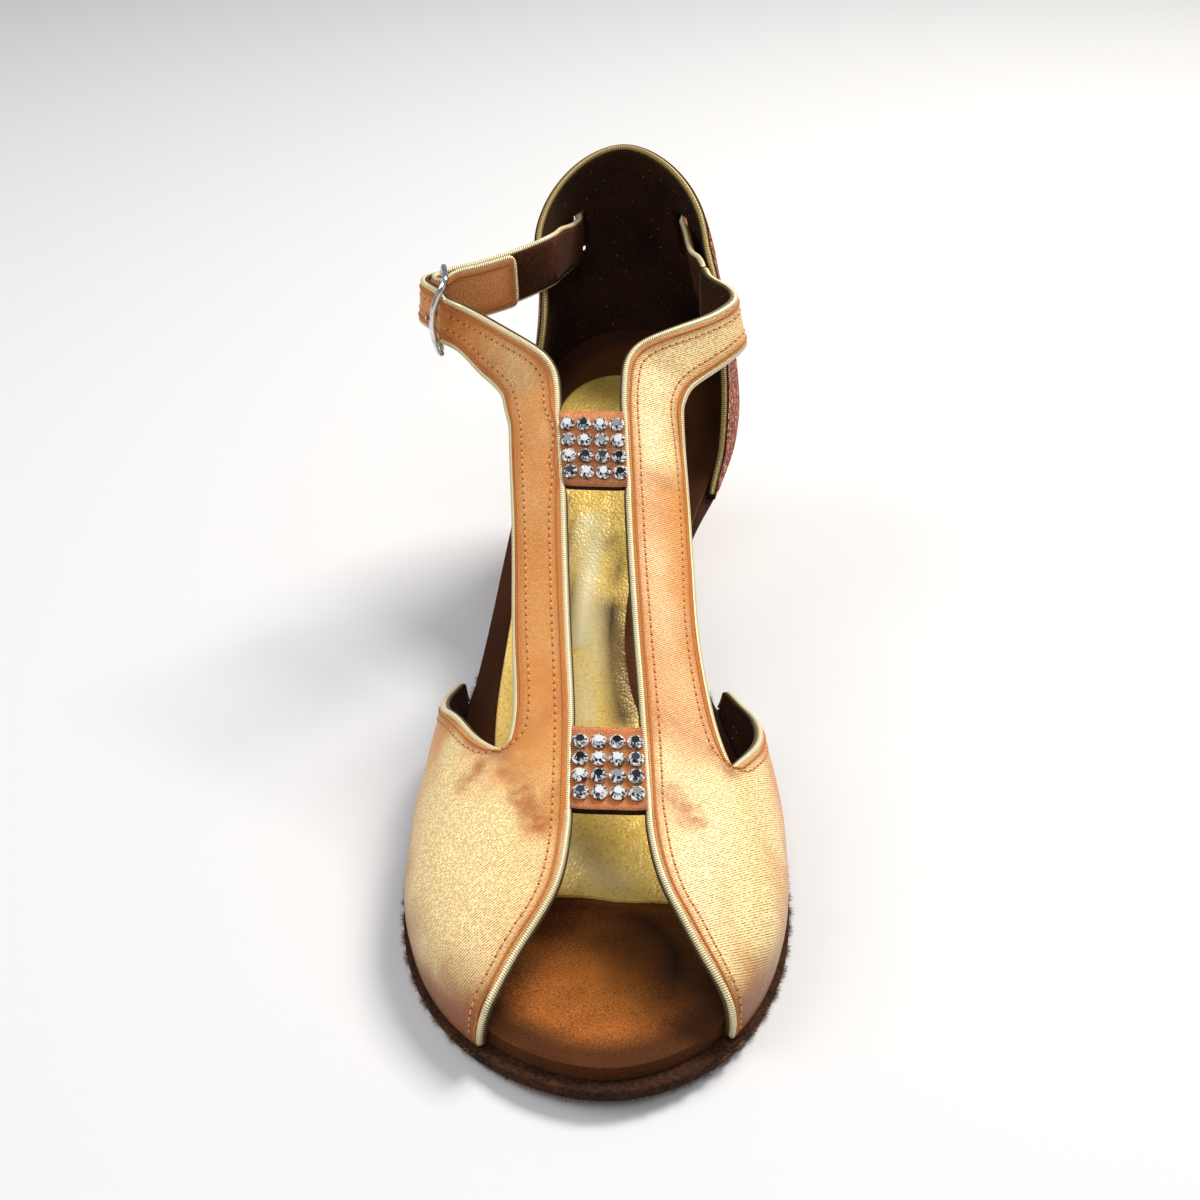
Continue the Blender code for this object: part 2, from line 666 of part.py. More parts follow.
def half_of_upper(side):
    """Grids of one half of the upper: vamp, T-bar and the vamp's side."""
    col = 1 if side < 0 else 2
    notch = smooth(STRAP_EDGE, NOTCH, col)
    patches = []
    vamp = []
    front = OPENING_FRONT[side]
    toe_rows = [front + (VAMP_ROWS[0] - front) * (k / TOE_ROWS) ** 1.15 for k in range(TOE_ROWS)]
    for along in toe_rows + VAMP_ROWS:
        inner = smooth(OPENING, along, col)
        line, girth = last_line(along, side)
        full = girth[-1] / BALL_WIDTH
        split = max(notch, inner)
        share = (along - front) / (NOTCH - front)
        even = inner + (full - inner) * STRAP_COLUMNS / (STRAP_COLUMNS + SIDE_COLUMNS)
        blend = share ** 3
        middle = even + (split - even) * blend
        row = [on_last(along, side, inner, middle, k / STRAP_COLUMNS) for k in range(STRAP_COLUMNS)]
        row += [on_last(along, side, middle, None, k / SIDE_COLUMNS) for k in range(SIDE_COLUMNS + 1)]
        vamp.append(row)
    patches.append(vamp)
    strap = []
    for along in STRAP_ROWS:
        inner = smooth(OPENING, along, col)
        outer = smooth(STRAP_EDGE, along, col)
        strap.append([on_last(along, side, inner, outer, k / STRAP_COLUMNS) for k in range(STRAP_COLUMNS + 1)])
    patches.append(strap)
    flap = []
    for along in FLAP_ROWS:
        top = smooth(TOPLINE, along, col)
        flap.append([on_last(along, side, top, None, k / SIDE_COLUMNS) for k in range(SIDE_COLUMNS + 1)])
    patches.append(flap)
    return patches


def ribbon(tops, lows, steps, columns=STRAP_COLUMNS, crown=None):
    """Grid of a strap between its top and low edges; crown lifts its start off the straight line and fades out."""
    grid = []
    fade = steps * 3
    for row, (top, low) in enumerate(zip(through(tops, steps), through(lows, steps))):
        line = [top.lerp(low, k / columns) for k in range(columns + 1)]
        if crown:
            left = max(0.0, 1 - row / fade) ** 2
            line = [point + lift * left for point, lift in zip(line, crown)]
        grid.append(line)
    return grid


def edges_of(table):
    tops = [place(*row[:3]) for row in table]
    lows = [place(*row[3:]) for row in table]
    return tops, lows


def strap_end(side):
    """Last row of the T-bar on the last, from its inner to its outer edge."""
    col = 1 if side < 0 else 2
    inner = smooth(OPENING, STRAP_END, col)
    outer = smooth(STRAP_EDGE, STRAP_END, col)
    return [on_last(STRAP_END, side, inner, outer, k / STRAP_COLUMNS) for k in range(STRAP_COLUMNS + 1)]


def tail_edges():
    """Top and low edge of the lateral wing from the buckle's front side to its tapered end behind the fold."""
    centre, run, up, out = buckle_axes()
    bar, ahead, back = fold_axes()
    under, over = TAIL_BOW
    clear = BUCKLE_BOW * under - BUCKLE_WIRE / 2 - GAP
    reach = BUCKLE_WIRE / 2 + FOLD_SLACK + STRAP_WALL + 2.5 * GAP + UPPER_WALL
    middles = [centre - run * BUCKLE_LENGTH / 2 + out * clear, centre - run * BUCKLE_LENGTH / 8 + out * clear * over]
    start = math.atan2(out.dot(back), -out.dot(ahead))
    for share in TAIL_TURNS:
        turn = start + (math.pi / 2 - start) * share
        middles.append(bar + (-ahead * math.cos(turn) + back * math.sin(turn)) * reach)
    stand = STRAP_WALL / 2 + GAP * 2 + UPPER_WALL
    for across, along, rise, _ in FRONT_RUN[:FOLD_ROWS]:
        middles.append(place(across, along, rise) + back * stand)
    tops, lows = [], []
    for middle, tall in zip(middles, TAIL_HEIGHTS):
        half = up * tall * STRAP_HEIGHT / 2
        tops.append(middle + half)
        lows.append(middle - half)
    return tops, lows


def bar_grid(first, last):
    """Grid of a bridge that joins the two halves across the slit, a little under their skin."""
    rows = [along for along in VAMP_ROWS + STRAP_ROWS[1:] if first - 1e-6 <= along <= last + 1e-6]
    grid = []
    for along in rows:
        left = on_last(along, -1, smooth(OPENING, along, 1), 1, 0)
        right = on_last(along, 1, smooth(OPENING, along, 2), 1, 0)
        row = []
        for k in range(BAR_COLUMNS + 1):
            point = left.lerp(right, k / BAR_COLUMNS)
            if 0 < k < BAR_COLUMNS:
                point.z += BAR_CROWN - BAR_SINK
            row.append(point)
        grid.append(row)
    return grid


def make_upper(collection, slit):
    satin = finish("satin", (0.80, 0.55, 0.32), 0.4)
    patches = half_of_upper(-1) + half_of_upper(1)
    for side, table in ((-1, WING_LATERAL), (1, WING_MEDIAL)):
        tops, lows = edges_of(table)
        end = strap_end(side)
        tops = [end[0]] + tops
        lows = [end[-1]] + lows
        crown = [point - end[0].lerp(end[-1], k / STRAP_COLUMNS) for k, point in enumerate(end)]
        if side < 0:
            more_tops, more_lows = tail_edges()
            tops += more_tops
            lows += more_lows
        patches.append(ribbon(tops, lows, 2, crown=crown))
    for first, last in BARS:
        patches.append(bar_grid(first, last))
    crest = on_last(0.46, 1, 0.2, 0.2, 0)
    mesh = sheet_mesh("upper", patches, (crest, Vector((0.3, -0.2, 1))))
    item = add_object("upper", mesh, collection, satin)
    wall(item, UPPER_WALL)
    cut(item, slit)


def counter_slots(collection):
    cutters = []
    for side in (-1, 1):
        around = side * SLOT_ANGLE / 180
        height = outsole_top(1.0) + SLOT_RISE * COUNTER_HEIGHT
        middle, up = counter_frame(around, height, -COUNTER_WALL / 2)
        outer, _ = counter_frame(around, height, COUNTER_WALL)
        out = (outer - middle).normalized()
        run = out.cross(up).normalized()
        turn = Matrix((run, out, up)).transposed().to_4x4()
        size = (SLOT_WIDTH, COUNTER_WALL * 4, SLOT_HEIGHT)
        cutters.append(box_cutter("slot_cutter", size, Matrix.Translation(middle) @ turn, collection))
    return cutters


def make_counter(collection, cutters):
    glitter = finish("counter glitter", (0.35, 0.09, 0.04), 0.35, 0.4)
    arounds = [k / 18 for k in range(-18, 19)]
    levels = [*COUNTER_LEVELS[:-1], *spread(COUNTER_LEVELS[-1], 1.0, 12)]
    grid = [[counter_point(around, level) for around in arounds] for level in levels]
    mesh = sheet_mesh("counter", [grid], (grid[6][18], Vector((0, 1, 0))))
    item = add_object("counter", mesh, collection, glitter)
    wall(item, COUNTER_WALL)
    for cutter in cutters:
        cut(item, cutter)


def ankle_rows():
    """Middle line of the ankle strap and its upward direction, from the medial wing round the heel to the buckle."""
    inside = -COUNTER_WALL - GAP * 1.5 - STRAP_WALL / 2
    outside = GAP * 1.5 + STRAP_WALL / 2
    height = outsole_top(1.0) + SLOT_RISE * COUNTER_HEIGHT
    slot = SLOT_ANGLE / 180
    rows = []
    wing_top, wing_low = edges_of(WING_MEDIAL)
    start = (wing_top[-1] + wing_low[-1]) / 2
    before = (wing_top[-2] + wing_low[-2]) / 2
    heading = (start - before).normalized()
    up = (wing_top[-1] - wing_low[-1]).normalized()
    inward = heading.cross(up).normalized()
    if inward.x > 0:
        inward = -inward
    rows.append((start + heading * GAP * 2 + inward * UPPER_WALL / 2, up))
    for around, slack, share in MEDIAL_RUN:
        level_at = start.z + (height - start.z) * share
        rows.append(counter_frame(around, level_at, inside - slack * STRAP_WALL))
    for k in range(7):
        share = k / 6
        mix = share * share * (3 - 2 * share)
        around = slot + SLOT_CROSSING * (0.5 - share)
        rows.append(counter_frame(around, height, inside + (outside - inside) * mix))
    for k in range(1, 12):
        around = (slot - SLOT_CROSSING / 2) * (1 - k / 6)
        rows.append(counter_frame(around, height, outside))
    for k in range(7):
        share = k / 6
        mix = share * share * (3 - 2 * share)
        around = -slot + SLOT_CROSSING * (0.5 - share)
        rows.append(counter_frame(around, height, outside + (inside - outside) * mix))
    around, slack = LATERAL_TURN
    rows.append(counter_frame(around, height, inside - slack * STRAP_WALL))
    for across, along, rise, lean in reversed(FRONT_RUN):
        rows.append((place(across, along, rise), Vector((lean, 0, 1)).normalized()))
    return rows


def buckle_axes():
    """Centre of the buckle, its direction along the strap, up, and out of the strap."""
    centre = place(*BUCKLE_PLACE)
    turn = math.radians(BUCKLE_TURN)
    run = Vector((math.cos(turn), math.sin(turn), 0))
    up = Vector((BUCKLE_LEAN, 0, 1)).normalized()
    out = up.cross(run).normalized()
    if out.x > 0:
        out = -out
    up = run.cross(out).normalized()
    if up.z < 0:
        up = -up
    return centre, run, up, out


def fold_axes():
    """Buckle's rear bar, the strap's direction away from it, and the strap's back side."""
    centre, run, up, _ = buckle_axes()
    bar = centre + run * BUCKLE_LENGTH / 2
    ahead = place(*FRONT_RUN[1][:3]) - bar
    ahead = (ahead - up * ahead.dot(up)).normalized()
    back = up.cross(ahead).normalized()
    if back.y < 0:
        back = -back
    return bar, ahead, back


def make_ankle_strap(collection, slit):
    satin = finish("strap satin", (0.78, 0.52, 0.30), 0.42)
    rows = ankle_rows()
    _, _, up, _ = buckle_axes()
    bar, ahead, back = fold_axes()
    radius = BUCKLE_WIRE / 2 + FOLD_SLACK + STRAP_WALL / 2
    turns = [math.radians(degrees) for degrees in FOLD_TURNS]
    fold = [(bar - ahead * math.cos(turn) * radius + back * math.sin(turn) * radius, up) for turn in turns]
    inner_side = []
    for across, along, rise, lean in FRONT_RUN[:FOLD_ROWS]:
        point = place(across, along, rise) - back * (STRAP_WALL + FOLD_SLACK)
        inner_side.append((point, Vector((lean, 0, 1)).normalized()))
    rows = rows + fold + inner_side
    tops = [point + up_way * STRAP_HEIGHT / 2 for point, up_way in rows]
    lows = [point - up_way * STRAP_HEIGHT / 2 for point, up_way in rows]
    grid = ribbon(tops, lows, 2, 2)
    middle = len(grid) // 3
    mesh = sheet_mesh("ankle_strap", [grid], (grid[middle][1], Vector((0, 1, 0))))
    item = add_object("ankle_strap", mesh, collection, satin)
    wall(item, STRAP_WALL, 0.0)
    cut(item, slit)


def wire(name, points, diameter, collection, material, cyclic=False):
    """Round wire along points, made a mesh with closed ends."""
    data = bpy.data.curves.new(name, "CURVE")
    data.dimensions = "3D"
    data.bevel_depth = diameter / 2
    data.bevel_resolution = 2
    data.use_fill_caps = not cyclic
    spline = data.splines.new("POLY")
    spline.points.add(len(points) - 1)
    for target, point in zip(spline.points, points):
        target.co = (*point, 1)
    spline.use_cyclic_u = cyclic
    item = bpy.data.objects.new(name, data)
    collection.objects.link(item)
    bpy.context.view_layer.update()
    mesh = bpy.data.meshes.new_from_object(item.evaluated_get(bpy.context.evaluated_depsgraph_get()))
    bpy.data.objects.remove(item, do_unlink=True)
    shape = bmesh.new()
    shape.from_mesh(mesh)
    bmesh.ops.remove_doubles(shape, verts=shape.verts, dist=0.001 * MM)
    bmesh.ops.recalc_face_normals(shape, faces=shape.faces)
    shape.to_mesh(mesh)
    shape.free()
    mesh.materials.clear()
    mesh.shade_smooth()
    return add_object(name, mesh, collection, material)


def make_buckle(collection):
    chrome = finish("chrome wire", (0.78, 0.78, 0.80), 0.15, 1.0)
    centre, run, up, out = buckle_axes()
    half_long = BUCKLE_LENGTH / 2
    half_tall = (BUCKLE_HEIGHT - BUCKLE_WIRE) / 2
    corner = BUCKLE_CORNER
    points = []
    for sign_run, sign_up, first in ((-1, 1, 90), (-1, -1, 180), (1, -1, 270), (1, 1, 0)):
        for k in range(4):
            turn = math.radians(first + 30 * k)
            s = sign_run * (half_long - corner) + corner * math.cos(turn)
            h = sign_up * (half_tall - corner) + corner * math.sin(turn)
            points.append((s, h))
        if (sign_run, sign_up) == (-1, 1):
            points += [(-half_long, BAR_FLAT * step) for step in (1, 0.35, -0.35, -1)]

    def spot(s, h):
        ahead = max(0.0, -s / half_long)
        bow = BUCKLE_BOW * ahead * (1 - (h / half_tall) ** 2)
        return centre + run * s + up * h + out * bow
    wire("buckle_frame", [spot(s, h) for s, h in points], BUCKLE_WIRE, collection, chrome, cyclic=True)


def prong_ends():
    centre, run, up, out = buckle_axes()
    reach = BUCKLE_WIRE / 2 + PRONG_WIRE / 2 + GAP
    start = centre + run * (BUCKLE_LENGTH / 2 - reach)
    end = centre - run * (BUCKLE_LENGTH / 2 + BUCKLE_WIRE * 0.3) + out * (BUCKLE_BOW + reach)
    return start, end


def prong_slit(collection):
    """Space that the prong takes through the strap's fold and the tail."""
    _, _, up, _ = buckle_axes()
    start, end = prong_ends()
    way = (end - start).normalized()
    side = way.cross(up).normalized()
    up = side.cross(way).normalized()
    turn = Matrix((way, side, up)).transposed().to_4x4()
    thick = PRONG_WIRE + 2 * GAP
    size = ((end - start).length + 2.4 * MM, thick, thick)
    return box_cutter("prong_slit", size, Matrix.Translation((start + end) / 2) @ turn, collection)


def make_prong(collection):
    chrome = finish("prong chrome", (0.78, 0.78, 0.80), 0.15, 1.0)
    start, end = prong_ends()
    wire("buckle_prong", [start.lerp(end, k / 3) for k in range(4)], PRONG_WIRE, collection, chrome)


def make_stones(collection):
    """Four rows of four flat-backed stones on each bridge."""
    glass = finish("crystal", (0.85, 0.88, 0.92), 0.05)
    for bar, (first, last) in enumerate(BARS, 1):
        grid = bar_grid(first, last)
        centre_row = (first + last) / 2
        middle = (STONE_ROWS - 1) / 2
        for row in range(STONE_ROWS):
            for column in range(STONE_ROWS):
                along = centre_row + (row - middle) * STONE_ROW_PITCH / SOLE_LENGTH * slope_share(grid)
                left = on_last(along, -1, smooth(OPENING, along, 1), 1, 0)
                right = on_last(along, 1, smooth(OPENING, along, 2), 1, 0)
                width = (right - left).length
                share = 0.5 + (column - middle) * STONE_COLUMN_PITCH / width
                spot = left.lerp(right, share)
                spot.z += BAR_CROWN - BAR_SINK
                across = (grid[-1][4] - grid[-1][2]).normalized()
                ahead = (grid[-1][3] - grid[0][3]).normalized()
                up = across.cross(ahead).normalized()
                spot += up * (2 * GAP + STONE_HEIGHT / 2)
                across = ahead.cross(up)
                turn = Matrix((across, ahead, up)).transposed().to_4x4()
                shape = bmesh.new()
                bmesh.ops.create_cone(shape, cap_ends=True, segments=10, radius1=STONE_DIAMETER / 2,
                                      radius2=STONE_DIAMETER / 4, depth=STONE_HEIGHT)
                name = f"stone_{bar}_{row + 1}_{column + 1}"
                mesh = bpy.data.meshes.new(name)
                shape.to_mesh(mesh)
                shape.free()
                item = add_object(name, mesh, collection, glass)
                item.matrix_world = Matrix.Translation(spot) @ turn


def slope_share(grid):
    """Plan length of a bridge over its sloping length."""
    rise = grid[-1][3] - grid[0][3]
    return math.hypot(rise.x, rise.y) / rise.length


def main():
    clear_scene()
    shoe = bpy.data.collections.new("ballroom dance shoe")
    cutters = bpy.data.collections.new("cutters")
    bpy.context.scene.collection.children.link(shoe)
    bpy.context.scene.collection.children.link(cutters)
    slit = prong_slit(cutters)
    make_outsole(shoe)
    make_insole(shoe)
    make_sock(shoe)
    make_heel(shoe)
    make_upper(shoe, slit)
    make_counter(shoe, counter_slots(cutters))
    make_ankle_strap(shoe, slit)
    make_buckle(shoe)
    make_prong(shoe)
    make_stones(shoe)


main()
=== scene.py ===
# %% [markdown]
# A lady's open-toe Latin dance sandal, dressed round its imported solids.
# The solids give every piece its true form. Here each one gets its real surface: satin with turned
# and piped edges, stitches, suede, glitter, gold leather, chrome wire and faceted crystals.
# Lengths are in metres. The toe points along -Y, the inner side of the foot is +X, the floor is z = 0.

# %% The frame
import json
import math
import random
from functools import partial
from itertools import combinations, product

import bmesh
import bpy
import numpy as np
from mathutils import Matrix, Vector
from mathutils.bvhtree import BVHTree
from mathutils.kdtree import KDTree

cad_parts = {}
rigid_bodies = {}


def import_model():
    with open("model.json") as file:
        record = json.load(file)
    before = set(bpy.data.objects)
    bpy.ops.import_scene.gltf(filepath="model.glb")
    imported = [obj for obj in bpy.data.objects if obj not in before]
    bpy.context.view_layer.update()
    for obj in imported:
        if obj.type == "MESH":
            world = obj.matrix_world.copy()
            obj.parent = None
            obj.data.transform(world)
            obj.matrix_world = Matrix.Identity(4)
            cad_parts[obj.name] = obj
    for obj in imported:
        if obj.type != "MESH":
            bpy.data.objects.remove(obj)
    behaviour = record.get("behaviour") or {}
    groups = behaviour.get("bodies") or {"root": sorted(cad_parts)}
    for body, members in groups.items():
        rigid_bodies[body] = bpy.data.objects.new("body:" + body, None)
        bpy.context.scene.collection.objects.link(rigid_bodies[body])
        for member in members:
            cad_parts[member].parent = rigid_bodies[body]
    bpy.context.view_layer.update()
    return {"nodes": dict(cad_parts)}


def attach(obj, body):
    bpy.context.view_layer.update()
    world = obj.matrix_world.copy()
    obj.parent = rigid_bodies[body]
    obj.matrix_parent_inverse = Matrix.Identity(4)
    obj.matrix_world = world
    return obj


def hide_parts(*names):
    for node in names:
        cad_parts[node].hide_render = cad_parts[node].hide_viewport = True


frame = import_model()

MM = 0.001

# %% [markdown]
# A few helpers come first. An operator acts on whatever is selected, so each step begins by
# selecting one piece alone.

# %% Choosing a piece
MERGE_REACH = 0.01 * MM
FLAT_ENOUGH = math.radians(55)
SQUARE_ENOUGH = math.radians(80)
SAME_WAY = 0.3


def choose(piece):
    """Makes a piece the only one selected, and the active one."""
    bpy.ops.object.select_all(action="DESELECT")
    piece.select_set(True)
    bpy.context.view_layer.objects.active = piece


def new_piece(mesh, name, *materials):
    """A mesh as a piece of the scene, with its materials."""
    mesh.name = name
    for material in materials:
        mesh.materials.append(material)
    piece = bpy.data.objects.new(name, mesh)
    bpy.context.scene.collection.objects.link(piece)
    return piece


def built_piece(name, places, polygons, material):
    """A piece made from lists of points and faces."""
    mesh = bpy.data.meshes.new(name)
    mesh.from_pydata(places, [], polygons)
    return new_piece(mesh, name, material)


def take_copy(node, name, *materials):
    """A node's form as a new piece: its loose triangles merged and paired into quads."""
    mesh = frame["nodes"][node].data.copy()
    mesh.materials.clear()
    piece = new_piece(mesh, name, *materials)
    choose(piece)
    bpy.ops.mesh.customdata_custom_splitnormals_clear()
    bpy.ops.object.mode_set(mode="EDIT")
    bpy.ops.mesh.select_all(action="SELECT")
    bpy.ops.mesh.remove_doubles(threshold=MERGE_REACH)
    bpy.ops.mesh.tris_convert_to_quads(face_threshold=FLAT_ENOUGH, shape_threshold=SQUARE_ENOUGH)
    bpy.ops.object.mode_set(mode="OBJECT")
    return piece


def apply_modifier(piece, kind, **settings):
    """Adds a modifier with its settings and applies it."""
    choose(piece)
    modifier = piece.modifiers.new(kind.lower(), kind)
    for key, value in settings.items():
        setattr(modifier, key, value)
    bpy.ops.object.modifier_apply(modifier=modifier.name)


def smooth_form(piece, levels):
    """Rounds a piece with Subdivision Surface."""
    apply_modifier(piece, "SUBSURF", levels=levels, render_levels=levels)


def seam_at_rims(piece, degrees):
    """Marks a seam and a full crease where the surface turns by more than so many degrees."""
    choose(piece)
    bpy.ops.object.mode_set(mode="EDIT")
    bpy.ops.mesh.select_mode(type="EDGE")
    bpy.ops.mesh.select_all(action="DESELECT")
    bpy.ops.mesh.edges_select_sharp(sharpness=math.radians(degrees))
    bpy.ops.mesh.mark_seam(clear=False)
    bpy.ops.transform.edge_crease(value=1.0)
    bpy.ops.mesh.select_mode(type="FACE")
    bpy.ops.mesh.select_all(action="DESELECT")
    bpy.ops.object.mode_set(mode="OBJECT")


def paint_side(piece, near, facing, material_index):
    """Gives the side that lies nearest to a point, and looks the same way, one material up to its seams."""
    choose(piece)
    faces = [face for face in piece.data.polygons if face.normal.dot(Vector(facing)) > SAME_WAY]
    seed = min(faces, key=lambda face: (face.center - Vector(near)).length)
    for face in piece.data.polygons:
        face.select = face.index == seed.index
    bpy.ops.object.mode_set(mode="EDIT")
    bpy.ops.mesh.select_linked(delimit={"SEAM"})
    piece.active_material_index = material_index
    bpy.ops.object.material_slot_assign()
    bpy.ops.mesh.select_all(action="DESELECT")
    bpy.ops.object.mode_set(mode="OBJECT")


def soften_inside(piece, material_index):
    """Clears seams and creases between two faces of one material, where a strap only bends."""
    shape = bmesh.new()
    shape.from_mesh(piece.data)
    crease = shape.edges.layers.float.get("crease_edge")
    for edge in shape.edges:
        if edge.seam and all(face.material_index == material_index for face in edge.link_faces):
            edge.seam = False
            edge[crease] = 0.0
    shape.to_mesh(piece.data)
    shape.free()


def lay_flat(piece):
    """Unwraps a piece along its seams, as cloth laid flat, with a UV map named cloth in millimetres."""
    choose(piece)
    piece.data.uv_layers.new(name="cloth")
    bpy.ops.object.mode_set(mode="EDIT")
    bpy.ops.mesh.select_all(action="SELECT")
    bpy.ops.uv.unwrap(method="ANGLE_BASED", margin=0.005)
    bpy.ops.object.mode_set(mode="OBJECT")
    layer = piece.data.uv_layers["cloth"]
    flat = np.empty(len(layer.uv) * 2)
    layer.uv.foreach_get("vector", flat)
    flat = flat.reshape(-1, 2)
    covered = sum(polygon_area(flat[list(face.loop_indices)]) for face in piece.data.polygons)
    real = sum(face.area for face in piece.data.polygons)
    flat *= math.sqrt(real / covered) / MM
    layer.uv.foreach_set("vector", flat.ravel())


def polygon_area(corners):
    """Area of a flat shape from its corners in order."""
    x, y = corners[:, 0], corners[:, 1]
    return abs(np.dot(x, np.roll(y, -1)) - np.dot(y, np.roll(x, -1))) / 2


def store_values(mesh, name, values, domain="POINT"):
    """Stores a number for each point or face, for a material to read."""
    mesh.attributes.new(name, "FLOAT", domain).data.foreach_set("value", values)


def dress(piece, slot, *nodes):
    """Shades a finished piece smooth, ties it to the shoe and hides the solids it stands for."""
    piece.data.shade_smooth()
    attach(piece, "root")
    if nodes:
        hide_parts(*nodes)
    print(piece.name, len(piece.data.polygons), "faces")


# %% [markdown]
# Colours are written as the hex values a designer would pick on a screen. Shaders work in linear
# light, so one function turns them over. One more function adds any node: its inputs are given by
# name or number, each as a value or as another node's output, and it hands back one output. The
# inputs 0 to 4 of a Map Range node are the value, its low and its high, and what those two turn
# into. The inputs 0, 6 and 7 of a Mix node of colours are the share and the two colours, and its
# output 2 is their mixture. Those two kinds come up most, so their settings have names.

# %% Colours and nodes
def hex_colour(text):
    """sRGB hex value as linear red, green, blue and alpha."""
    values = []
    for start in (1, 3, 5):
        part = int(text[start:start + 2], 16) / 255
        values.append(part / 12.92 if part <= 0.04045 else ((part + 0.055) / 1.055) ** 2.4)
    return (*values, 1.0)


SOFT = {"interpolation_type": "SMOOTHSTEP"}
OF_COLOURS = {"data_type": "RGBA"}


def fill(tree, node, inputs):
    """Gives a node's inputs their values, and links the ones that are another node's output."""
    for key, value in inputs.items():
        if isinstance(value, bpy.types.NodeSocket):
            tree.links.new(value, node.inputs[key])
        elif isinstance(value, str):
            node.inputs[key].default_value = hex_colour(value)
        else:
            node.inputs[key].default_value = value


def add_node(tree, kind, inputs=None, out=0, stops=(), **settings):
    """Adds a node with its settings, inputs, links and ramp stops, and returns one of its outputs."""
    node = tree.nodes.new("ShaderNode" + kind)
    for key, value in settings.items():
        setattr(node, key, value)
    fill(tree, node, inputs or {})
    if stops:
        elements = node.color_ramp.elements
        while len(elements) < len(stops):
            elements.new(0.5)
        for element, (at, colour) in zip(elements, stops):
            element.position = at
            element.color = hex_colour(colour)
    return node.outputs[out]


def start_material(name):
    """A new material, and a function that adds nodes to it."""
    material = bpy.data.materials.new(name)
    material.use_nodes = True
    return material, partial(add_node, material.node_tree)


def finish_material(material, inputs):
    """Sets and links the inputs of the material's Principled shader."""
    fill(material.node_tree, material.node_tree.nodes["Principled BSDF"], inputs)
    return material


# %% [markdown]
# The upper is polyester satin, woven with long smooth floats on its face. They give it a soft gloss, and
# they lie in fine diagonal lines. Threads sit some 0.2 mm apart on the real cloth. The lines are drawn 0.5
# mm apart, as fine as a picture of the whole shoe can show. The lines run on the UV map, because on Object
# coordinates they would turn into rings round the curved toe. Four measures are stored on its points: where
# a highlight is painted into its colour (bright), how much dirt and painted shade its creases hold, and how
# far away the piped edge (rim) and the sole (foot) are: beside the piping painted shade darkens the cloth,
# and near the sole painted shade and a painted reflection of the dark sole brown it. The slubs, clouds and
# blotches are read from the cloth itself: uneven threads, soft waves and stains.

# %% Satin
TWILL_PITCH = 0.5
TWILL_TURN = math.radians(62)
WAVE_LENGTH = 2 * math.pi / 20
SLUB = 0.45 * MM
BLOTCH = 2.6 * MM
CLOUD = 16 * MM
# Brown of dirt and painted shade in the creases.
CREASE_SOIL_AND_SHADE = "#A4560F"
# Brown of painted shade and a painted reflection of the dark sole.
SOLE_SHADE = "#823E12"
CLOUD_RISE = 14 * MM
SLUB_RISE = 9 * MM
BROWN_FROM = 28 * MM
BROWN_FULL = 17 * MM
EDGE_FROM = 3.2 * MM
EDGE_FULL = 1.0 * MM
FOLD_DEPTH = 1.6 * MM
TWILL_DEPTH = 0.06 * MM
SLUB_DEPTH = 0.12 * MM


